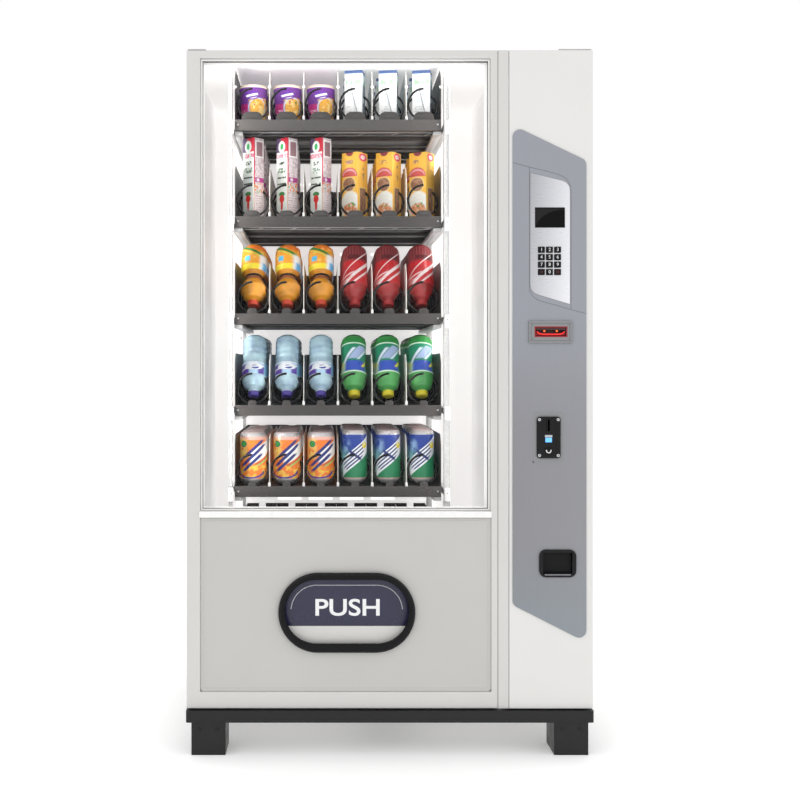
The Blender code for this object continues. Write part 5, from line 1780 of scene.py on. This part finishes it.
def yellow_side(g, u, v):
    bits = g.noise(120.0, 2.0)
    return (
        (g.disc(u, v, (0.52, 0.925), (0.36, 0.060)), (0.74, 0.045, 0.14)),
        (g.disc(u, v, (0.52, 0.925), (0.22, 0.034)), (0.84, 0.62, 0.60)),
        (
            g.both(g.band(v, 0.56, 0.80, 0.01), g.band(u, 0.46, 0.66, 0.02), g.span(bits, 0.46, 0.54)),
            (0.42, 0.24, 0.12)
        ),
        (g.both(g.band(v, 0.05, 0.45, 0.006), g.band(u, 0.20, 0.84, 0.02)), (0.80, 0.62, 0.26)),
        (g.both(g.band(v, 0.06, 0.44, 0.006), g.band(u, 0.24, 0.80, 0.02)), (0.26, 0.12, 0.07)),
        (
            g.both(g.band(v, 0.06, 0.44, 0.006), g.band(u, 0.24, 0.80, 0.02), g.span(bits, 0.50, 0.56)),
            (0.42, 0.24, 0.15)
        ),
    )


def juice_label(g, u, v):
    gleam = g.noise(60.0, 2.0)
    return (
        (g.band(v, 0.82, 1.1, 0.06), (0.78, 0.17, 0.02)),
        (g.both(g.band(v, 0.30, 0.90, 0.05), g.span(gleam, 0.50, 0.66)), (0.85, 0.50, 0.10)),
        (slanted(g, u, v, 1.50, -1.45, 0.055), (0.03, 0.22, 0.04)),
        (slanted(g, u, v, 1.38, -1.45, 0.030), (0.62, 0.60, 0.10)),
        (g.both(g.band(u, 0.38, 0.455, 0.01), g.band(v, 0.34, 0.56, 0.02)), (0.08, 0.46, 0.74)),
        (g.both(g.band(v, -0.1, 0.22, 0.03), g.band(u, 0.2, 0.62, 0.02)), (0.84, 0.68, 0.02)),
        (g.both(g.band(u, 0.58, 0.80, 0.03), g.band(v, -0.1, 0.62, 0.06)), (0.84, 0.84, 0.84)),
        (g.both(g.band(u, 0.62, 0.72, 0.03), g.band(v, -0.1, 0.30, 0.06)), (0.12, 0.42, 0.74)),
    )


def cola_label(g, u, v):
    spokes = g.math("FRACT", g.math("MULTIPLY", u, 26.0))
    return (
        (g.band(v, 0.62, 1.1, 0.06), (0.16, 0.020, 0.024)),
        (g.both(g.band(v, 0.60, 1.1, 0.04), g.band(spokes, 0.30, 0.60, 0.10)), (0.34, 0.060, 0.065)),
        (g.both(g.band(v, 0.64, 0.76, 0.02), g.band(u, 0.42, 0.64, 0.02)), (0.10, 0.015, 0.018)),
        (slanted(g, u, v, -0.34, 1.80, 0.016), (0.82, 0.70, 0.70)),
        (slanted(g, u, v, -0.66, 1.80, 0.050), (0.82, 0.70, 0.70)),
        (slanted(g, u, v, -0.86, 1.80, 0.032), (0.82, 0.62, 0.63)),
        (g.both(slanted(g, u, v, -0.08, 0.75, 0.022), g.band(u, 0.30, 0.50, 0.02)), (0.74, 0.50, 0.50)),
        (g.both(slanted(g, u, v, -0.18, 0.75, 0.018), g.band(u, 0.28, 0.48, 0.02)), (0.74, 0.50, 0.50)),
    )


def water_label(g, u, v):
    return (
        (g.both(g.band(v, -0.1, 0.80, 0.04), g.band(u, 0.28, 0.44, 0.02)), (0.10, 0.045, 0.34)),
        (g.both(g.band(v, -0.1, 0.74, 0.04), g.band(u, 0.56, 0.66, 0.02)), (0.09, 0.05, 0.36)),
        (g.disc(u, v, (0.50, 0.60), (0.13, 0.30)), (0.80, 0.84, 0.90)),
        (g.disc(u, v, (0.52, 0.52), (0.050, 0.16)), (0.05, 0.06, 0.32)),
        (slanted(g, u, v, 0.10, 0.90, 0.06), (0.84, 0.88, 0.92)),
        (g.band(v, 0.90, 1.1, 0.02), (0.74, 0.80, 0.86)),
        (g.band(u, 0.66, 0.78, 0.02), (0.10, 0.30, 0.50)),
    )


def green_label(g, u, v):
    return (
        (g.band(v, 0.86, 0.90, 0.012), (0.66, 0.84, 0.70)),
        (g.band(v, 0.90, 1.1, 0.012), (0.02, 0.28, 0.05)),
        (g.both(g.band(v, 0.05, 0.36, 0.02), g.band(u, 0.36, 0.66, 0.03)), (0.035, 0.09, 0.52)),
        (g.both(g.band(v, 0.05, 0.40, 0.02), g.band(u, 0.22, 0.36, 0.03)), (0.42, 0.58, 0.46)),
        (g.both(slanted(g, u, v, -0.70, 2.40, 0.150), g.band(v, 0.42, 0.80, 0.02)), (0.36, 0.46, 0.70)),
        (g.both(slanted(g, u, v, -0.46, 2.40, 0.060), g.band(v, 0.30, 0.74, 0.02)), (0.66, 0.74, 0.88)),
        (g.both(slanted(g, u, v, -0.92, 2.40, 0.050), g.band(v, 0.40, 0.78, 0.02)), (0.60, 0.70, 0.86)),
        (
            g.both(
                slanted(g, u, v, -0.26, 1.9, 0.050), g.band(v, 0.18, 0.34, 0.02), g.band(u, 0.2, 0.40, 0.02)
            ), (0.84, 0.78, 0.05)
        ),
        (
            g.both(
                slanted(g, u, v, -0.98, 1.9, 0.050), g.band(v, 0.18, 0.40, 0.02),
                g.band(u, 0.60, 0.72, 0.02)
            ), (0.84, 0.78, 0.05)
        ),
        (g.band(v, 0.00, 0.045, 0.012), (0.66, 0.84, 0.66)),
    )


def orange_can(g, u, v):
    fizz = g.noise(70.0, 2.0)
    return (
        (g.band(v, 0.885, 1.1, 0.010), (0.80, 0.42, 0.34)),
        (
            g.both(g.band(v, 0.50, 0.90, 0.04), g.band(u, 0.30, 0.44, 0.03), g.span(fizz, 0.36, 0.50)),
            (0.84, 0.56, 0.14)
        ),
        (g.both(slanted(g, u, v, 0.06, 0.95, 0.150), g.band(u, 0.47, 0.80, 0.02)), (0.86, 0.86, 0.84)),
        (g.both(slanted(g, u, v, -0.13, 0.95, 0.022), g.band(u, 0.50, 0.80, 0.02)), (0.60, 0.12, 0.03)),
        (g.both(slanted(g, u, v, -0.17, 0.95, 0.018), g.band(u, 0.54, 0.80, 0.02)), (0.30, 0.56, 0.16)),
        (g.both(g.band(v, 0.06, 0.36, 0.04), g.span(fizz, 0.46, 0.58)), (0.86, 0.52, 0.06)),
        *(
            (g.both(slanted(g, u, v, offset, 1.6, 0.040), g.band(v, low, high, 0.03)), (0.015, 0.025, 0.20))
            for offset, low, high in ((-0.12, 0.52, 0.88), (-0.25, 0.34, 0.80), (-0.38, 0.24, 0.60))
        ),
        (g.disc(u, v, (0.385, 0.80), (0.044, 0.066)), (0.02, 0.05, 0.16)),
        (g.disc(u, v, (0.385, 0.80), (0.036, 0.054)), (0.04, 0.36, 0.06)),
        (
            g.both(
                g.band(v, 0.05, 0.24, 0.02), ring_mask(g, u, v, (0.47, 0.26), (0.19, 0.17), (0.030, 0.034))
            ), (0.02, 0.03, 0.30)
        ),
    )


def lemon_can(g, u, v):
    sheen = g.noise(40.0, 2.0)
    return (
        (g.band(v, 0.58, 1.1, 0.14), (0.012, 0.045, 0.30)),
        (
            g.both(g.band(v, 0.60, 0.84, 0.06), g.band(u, 0.28, 0.42, 0.04), g.span(sheen, 0.35, 0.60)),
            (0.24, 0.40, 0.62)
        ),
        (g.both(g.band(u, 0.26, 0.36, 0.04), g.band(v, 0.25, 0.62, 0.08)), (0.20, 0.46, 0.52)),
        (g.both(slanted(g, u, v, -0.10, 1.25, 0.170), g.band(u, 0.30, 0.70, 0.02)), (0.84, 0.87, 0.92)),
        *(
            (g.both(slanted(g, u, v, offset, 1.25, 0.017), g.band(u, low, high, 0.02)), (0.015, 0.03, 0.17))
            for offset, low, high in (
                (0.02, 0.34, 0.60), (-0.06, 0.32, 0.64), (-0.14, 0.34, 0.62), (-0.21, 0.38, 0.60)
            )
        ),
        (g.both(slanted(g, u, v, 1.10, -1.1, 0.030), g.band(u, 0.42, 0.58, 0.02)), (0.015, 0.03, 0.17)),
        (g.disc(u, v, (0.635, 0.74), (0.040, 0.060)), (0.84, 0.70, 0.05)),
        (g.disc(u, v, (0.625, 0.76), (0.014, 0.022)), (0.90, 0.88, 0.50)),
        (g.band(v, -0.1, 0.105, 0.006), (0.60, 0.34, 0.30)),
    )


PRINT = {
    "noodle": printed("noodle_cup", (0.125, 0.022, 0.24), noodle_print, 0.40),
    "milk_front": printed("milk_carton_front", (0.84, 0.85, 0.86), milk_front, 0.36),
    "milk_side": printed("milk_carton_side", (0.10, 0.15, 0.20), milk_front, 0.36),
    "slim_left": printed("slim_box_left", (0.80, 0.84, 0.80), slim_left, 0.36),
    "slim_right": printed("slim_box_right", (0.70, 0.62, 0.64), slim_right, 0.36),
    "yellow_front": printed("yellow_box_front", (0.90, 0.50, 0.055), yellow_front, 0.40),
    "yellow_side": printed("yellow_box_side", (0.86, 0.48, 0.07), yellow_side, 0.40),
    "juice": printed("juice_label", (0.82, 0.33, 0.02), juice_label, 0.34, inverted=True),
    "cola": printed("cola_label", (0.52, 0.014, 0.020), cola_label, 0.30, inverted=True),
    "water": printed("water_label", (0.44, 0.64, 0.84), water_label, 0.30, inverted=True),
    "green": printed("green_label", (0.012, 0.26, 0.13), green_label, 0.32, inverted=True),
    "orange_can": printed("orange_can", (0.84, 0.20, 0.025), orange_can, 0.30),
    "lemon_can": printed("lemon_can", (0.015, 0.24, 0.10), lemon_can, 0.30),
}
CARD_TOP = painted("card_top", (0.78, 0.78, 0.80), 0.4, mottle=0.08)
YELLOW_TOP = painted("yellow_top", (0.80, 0.42, 0.05), 0.4, mottle=0.08)
RED_TOP = painted("red_top", (0.50, 0.03, 0.04), 0.4, mottle=0.08)
CREAM_RIM = painted("cream_rim", (0.64, 0.56, 0.42), 0.4, mottle=0.08)
COPPER_BROWN = painted("copper_brown", (0.34, 0.10, 0.03), 0.4, mottle=0.2)
LID_PURPLE = painted("lid_purple", (0.34, 0.24, 0.40), 0.4, mottle=0.2)
# Can lids in a light pink non-metal in place of bare metal: a painted reflection, lightened further as
# painted light against the shade under the tray above.
CAN_LID_PAINTED_REFLECTION = painted("can_lid_painted_reflection", (0.90, 0.70, 0.68), 0.34, Metallic=0.0)
CAN_METAL = painted("can_metal", (0.62, 0.60, 0.60), 0.3, Metallic=0.4)
STRAW = painted("straw_grey", (0.46, 0.47, 0.50), 0.4)
CAP_RED = painted("cap_red", (0.62, 0.055, 0.018), 0.38, mottle=0.08)
CAP_YELLOW = painted("cap_yellow", (0.72, 0.62, 0.02), 0.38, mottle=0.08)
CAP_BLUE = painted("cap_blue", (0.07, 0.045, 0.34), 0.38, mottle=0.08)
CAP_DARK = painted("cap_dark", (0.40, 0.012, 0.014), 0.38, mottle=0.08)
# A lighter copy of the tray grey for the top tray's lip: painted light.
TRAY_GREY_PAINTED_LIGHTER = painted("tray_grey_painted_lighter", (0.078, 0.072, 0.070), 0.34, mottle=0.06, grain=1200.0)


def drink(name, colour, **sockets):
    """A filled bottle's wall: tinted, glossy and slightly cloudy."""
    g = Graph(name, Roughness=0.12, IOR=1.45, Coat_Weight=0.6, Coat_Roughness=0.05, **sockets)
    cloud = g.span(g.noise(30.0, 3.0), 0.35, 0.65)
    g.set("Base_Color", g.mix(cloud, colour, shade(colour, 1.35)))
    g.relief(g.noise(24.0, 2.0), 0.3, 0.0006)
    return g.material


JUICE = drink("juice_amber", (0.72, 0.30, 0.018), Transmission_Weight=0.10)
COLA = drink("cola_brown", (0.34, 0.012, 0.014), Transmission_Weight=0.05)
WATER = drink("water_clear", (0.46, 0.66, 0.84), Transmission_Weight=0.20)
GREEN_DRINK = drink("green_drink", (0.07, 0.36, 0.09), Transmission_Weight=0.10)


# ---------------------------------------------------------------- stock: shapes


def noodle_cup():
    rows = [(0.031, 0, CREAM_RIM), (0.034, 0.002, PRINT["noodle"])]
    rows += [(0.034 + 0.008 * k / 5, 0.004 + 0.092 * k / 5, PRINT["noodle"]) for k in range(5)]
    rows += coat(CREAM_RIM, (0.0418, 0.0975), (0.0428, 0.0985)) + coat(
        LID_PURPLE, (0.0428, 0.1000), (0.0420, 0.1010)
    )
    rows += coat(LID_PURPLE, (0.0400, 0.1016), (0.0200, 0.1018), (0.0010, 0.1020))
    return shape_of(lathe(rows, 44))


def shape_of(*parts):
    """One mesh from several, each with its own materials and a matrix."""
    group = Piece("group")
    for part in parts:
        mesh, matrix = part if isinstance(part, tuple) else (part, Matrix())
        group.add(mesh, None, matrix)
    mesh = to_mesh(group.bm)
    for each in group.finishes:
        mesh.materials.append(each)
    return mesh


def milk_carton():
    body = carton(0.053, 0.048, 0.1475, PRINT["milk_front"], PRINT["milk_side"], CARD_TOP, 0.0018)
    straw = wire([(0.012, -0.0262, 0.020), (-0.010, -0.0262, 0.112), (-0.004, -0.0262, 0.122)], 0.0017, 2)
    straw.materials.append(STRAW)
    return shape_of(body, straw)


def slim_box():
    body = carton(0.041, 0.0472, 0.2280, PRINT["slim_right"], PRINT["slim_left"], RED_TOP, 0.0016)
    cap = lathe(
        coat(CAP_RED, (0.008, 0), (0.008, 0.005), (0.007, 0.006), (0.001, 0.0062)),
        20
    )
    return shape_of(body, (cap, Matrix.Translation((0.004, 0.004, 0.2280))))


def yellow_box():
    body = carton(0.056, 0.052, 0.1855, PRINT["yellow_front"], PRINT["yellow_side"], YELLOW_TOP, 0.0014)
    fold = box((-0.026, -0.0012, 0.1850), (0.026, 0.0012, 0.1885), 0.0008)
    fold.materials.append(YELLOW_TOP)
    return shape_of(body, fold)


def banded(rows):
    """Rows of (radius, height, material) smoothed with rounded steps for a moulded look."""
    out = []
    for (r0, h0, m0), (r1, h1, _) in zip(rows, rows[1:]):
        steps = max(1, round(abs(r1 - r0) / 0.0018))
        for k in range(steps):
            t = k / steps
            bend = (1 - math.cos(math.pi * t)) / 2
            out.append((r0 + (r1 - r0) * bend, h0 + (h1 - h0) * t, m0))
    return [*out, rows[-1]]


def bottle(rows, squash=1.0, sides=40):
    return lathe(banded(rows), sides, (1, squash))


def juice_bottle():
    rows = coat(JUICE, (0.014, 0), (0.027, 0.004), (0.0355, 0.014), (0.0375, 0.026), (0.0375, 0.080))
    rows += [
        (0.0330, 0.092, JUICE), (0.0245, 0.100, SATIN_BLACK), (0.0235, 0.106, COPPER_BROWN),
        (0.0250, 0.116, JUICE)
    ]
    rows += coat(
        JUICE, (0.0330, 0.126), (0.0392, 0.140), (0.0385, 0.155), (0.0290, 0.172)
    ) + coat(CAP_RED, (0.0150, 0.182))
    rows += coat(CAP_RED, (0.0162, 0.184), (0.0162, 0.195), (0.0148, 0.197), (0.0010, 0.198))
    label = coat(PRINT["juice"], (0.0362, 0.014), (0.0380, 0.026), (0.0380, 0.080))
    label += [(0.0345, 0.090, PRINT["juice"])]
    return shape_of(bottle(rows), lathe(label, 44))


def cola_bottle():
    rows = coat(COLA, (0.014, 0), (0.026, 0.003), (0.0345, 0.012), (0.0370, 0.024), (0.0370, 0.135))
    rows += [(0.0340, 0.150, COLA), (0.0240, 0.168, COLA), (0.0140, 0.180, CAP_DARK)]
    rows += coat(CAP_DARK, (0.0158, 0.182), (0.0158, 0.193), (0.0145, 0.195), (0.0010, 0.196))
    label = coat(PRINT["cola"], (0.0350, 0.013), (0.0373, 0.025), (0.0374, 0.080), (0.0374, 0.136))
    return shape_of(bottle(rows), lathe(label, 44))


def water_bottle():
    rows = coat(WATER, (0.014, 0), (0.025, 0.003), (0.0330, 0.010))
    for k in range(4):
        h = 0.018 + k * 0.018
        rows += coat(WATER, (0.0352, h), (0.0334, h + 0.005), (0.0352, h + 0.010))
    rows += coat(WATER, (0.0350, 0.132), (0.0335, 0.138), (0.0355, 0.146), (0.0300, 0.160))
    rows += [(0.0180, 0.172, WATER), (0.0140, 0.176, INK_WHITE), (0.0148, 0.178, CAP_BLUE)]
    rows += coat(CAP_BLUE, (0.0155, 0.179), (0.0155, 0.190), (0.0142, 0.192), (0.0010, 0.193))
    label = coat(PRINT["water"], (0.0354, 0.094), (0.0359, 0.095), (0.0359, 0.131), (0.0354, 0.132))
    return shape_of(bottle(rows), lathe(label, 44))


def green_bottle():
    rows = coat(GREEN_DRINK, (0.014, 0), (0.026, 0.003), (0.0345, 0.012), (0.0365, 0.022))
    rows += coat(GREEN_DRINK, (0.0340, 0.070), (0.0325, 0.090), (0.0350, 0.115), (0.0370, 0.130))
    rows += coat(GREEN_DRINK, (0.0350, 0.146), (0.0290, 0.164)) + coat(CAP_YELLOW, (0.0150, 0.176))
    rows += coat(CAP_YELLOW, (0.0170, 0.178), (0.0170, 0.190), (0.0155, 0.192), (0.0010, 0.193))
    label = coat(PRINT["green"], (0.0369, 0.022), (0.0345, 0.070), (0.0330, 0.090), (0.0353, 0.114))
    label += [(0.0374, 0.128, PRINT["green"])]
    return shape_of(bottle(rows), lathe(label, 44))


def can(radius, height, name, lid):
    neck = radius * 0.86
    rows = coat(CAN_METAL, (radius * 0.74, 0), (radius * 0.82, 0.002), (radius * 0.99, 0.010))
    rows += coat(PRINT[name], (radius, 0.013), (radius, height * 0.3), (radius, height * 0.6))
    rows += coat(
        CAN_METAL, (radius, height - 0.012), (radius * 0.97, height - 0.008), (neck * 1.06, height - 0.003)
    )
    rows += coat(lid, (neck * 1.04, height - 0.001), (neck, height), (neck * 0.95, height - 0.0005))
    rows += coat(lid, (neck * 0.91, height - 0.005), (neck * 0.20, height - 0.005), (0.001, height - 0.005))
    tab = panel(
        [stadium(0.004, 0.0, 0.030, 0.015, 6), stadium(0.009, 0.0, 0.010, 0.009, 5)], "Z", height - 0.0042,
        height - 0.0030, 0.0004, 1
    )
    tab.materials.append(CAN_METAL)
    return shape_of(lathe(rows, 44), tab)


def stock(
    name, number, columns, shape, lean=0.0, turn=0.0, z=0.0, y_shift=0.0, flip=False, lift=0.0, count=5
):
    """One column of the same product: one in each gap of the spiral."""
    piece = Piece(f"stock_{name}")
    draw = random.Random(name)
    base = tray_bottom(number) + STAND + z
    for column in columns:
        for k in range(count):
            y = TRAY_FRONT + SPIRAL_SETBACK + SPIRAL_PITCH * (k + 0.72) + y_shift
            wobble = draw.uniform(-3, 3)
            matrix = turned(
                column_x(column) + draw.uniform(-0.0012, 0.0012), y, base, (-lean, "X"),
                (turn + wobble, "Z")
            )
            if flip:
                matrix = matrix @ Matrix.Translation((0, 0, lift)) @ Matrix.Rotation(math.pi, 4, "Y")
            piece.add(shape, None, matrix, keep=True)
    piece.finish(f"tray_{number}", "white_plastic", smooth=40)


def make_stock():
    stock("noodle_cups", 1, (1, 2, 3), noodle_cup())
    stock("milk_cartons", 1, (4, 5, 6), milk_carton(), turn=-12)
    stock("slim_boxes", 2, (1, 2, 3), slim_box(), turn=45)
    stock("yellow_boxes", 2, (4, 5, 6), yellow_box(), turn=-35)
    tipped = {"lean": 25, "flip": True, "z": 0.016, "y_shift": -0.018}
    stock("juice_bottles", 3, (1, 2, 3), juice_bottle(), lift=0.198, **tipped)
    stock("cola_bottles", 3, (4, 5, 6), cola_bottle(), lift=0.196, **tipped)
    stock("water_bottles", 4, (1, 2, 3), water_bottle(), lift=0.193, **tipped)
    stock("green_bottles", 4, (4, 5, 6), green_bottle(), lift=0.193, **tipped)
    # The can lids take the painted reflection.
    stock("orange_cans", 5, (1, 2, 3), can(0.0400, 0.146, "orange_can", CAN_LID_PAINTED_REFLECTION))
    stock("lemon_cans", 5, (4, 5, 6), can(0.0365, 0.152, "lemon_can", CAN_LID_PAINTED_REFLECTION))


# ---------------------------------------------------------------- floor, lights and camera


def make_floor():
    bm = bmesh.new()
    bmesh.ops.create_grid(bm, x_segments=1, y_segments=1, size=9.0)
    floor = bpy.data.objects.new("floor", to_mesh(bm))
    bpy.context.scene.collection.objects.link(floor)
    g = Graph("studio_floor", Roughness=0.85, Emission_Color=(1, 1, 1), Emission_Strength=0.22)
    g.set("Base_Color", g.mix(g.span(g.noise(6.0, 3.0), 0.3, 0.7), (0.94, 0.94, 0.94), (0.96, 0.96, 0.96)))
    floor.data.materials.append(g.material)
    world = bpy.data.worlds.new("studio")
    bpy.context.scene.world = world
    world.use_nodes = True
    world.node_tree.nodes["Background"].inputs["Color"].default_value = (1, 1, 1, 1)
    world.node_tree.nodes["Background"].inputs["Strength"].default_value = 1.0


def area_light(name, place, target, size, power, colour=(1, 1, 1), hidden=True):
    light = bpy.data.lights.new(name, "AREA")
    light.shape = "RECTANGLE"
    light.size, light.size_y = size
    light.energy = power
    light.color = colour
    obj = bpy.data.objects.new(name, light)
    bpy.context.scene.collection.objects.link(obj)
    obj.location = place
    obj.rotation_euler = (Vector(target) - Vector(place)).to_track_quat("-Z", "Y").to_euler()
    obj.visible_camera = not hidden
    return obj


def make_lights():
    area_light("key", (-1.9, -3.2, 3.0), (0, 0, 0.9), (2.0, 2.0), 9.0)
    area_light("fill", (2.6, -2.2, 1.6), (0, 0, 0.9), (2.0, 2.2), 3.0)
    warm = (1.0, 0.985, 0.955)
    area_light("strip_left", (-0.515, -0.305, 1.30), (0.0, 0.05, 1.30), (0.02, 1.2), 2.5, warm)
    area_light("strip_right", (0.290, -0.305, 1.30), (-0.25, 0.05, 1.30), (0.02, 1.2), 2.5, warm)
    area_light("ceiling", (-0.12, -0.28, 1.915), (-0.12, 0.05, 1.6), (0.7, 0.03), 0.5, warm)


def make_camera():
    camera = bpy.data.objects.new("camera", bpy.data.cameras.new("camera"))
    bpy.context.scene.collection.objects.link(camera)
    camera.location = (-0.177, FACE - 3.12, 1.062)
    camera.rotation_euler = (math.radians(90), 0, 0)
    camera.data.lens = 51.17
    camera.data.shift_x, camera.data.shift_y = 0.0935, -0.041
    bpy.context.scene.camera = camera


bpy.context.scene.view_settings.view_transform = "Standard"
make_cabinet()
make_feet_details()
make_back()
make_top()
make_racks()
make_liner_details()
make_cooling()
make_lock()
make_door_frame()
make_door_inside()
make_seals()
make_lower_panel()
make_hatch()
make_payment_door()
make_display()
make_keys()
make_bill_details()
make_coin_details()
make_cup_details()
for tray_number in range(1, TRAYS + 1):
    make_tray(tray_number)
    make_shoes(tray_number)
    if tray_number < 4:
        make_underside(tray_number)
make_slides()
make_spirals()
make_stock()
make_floor()
make_lights()
make_camera()

for spare in [mesh for mesh in bpy.data.meshes if not mesh.users]:
    bpy.data.meshes.remove(spare)
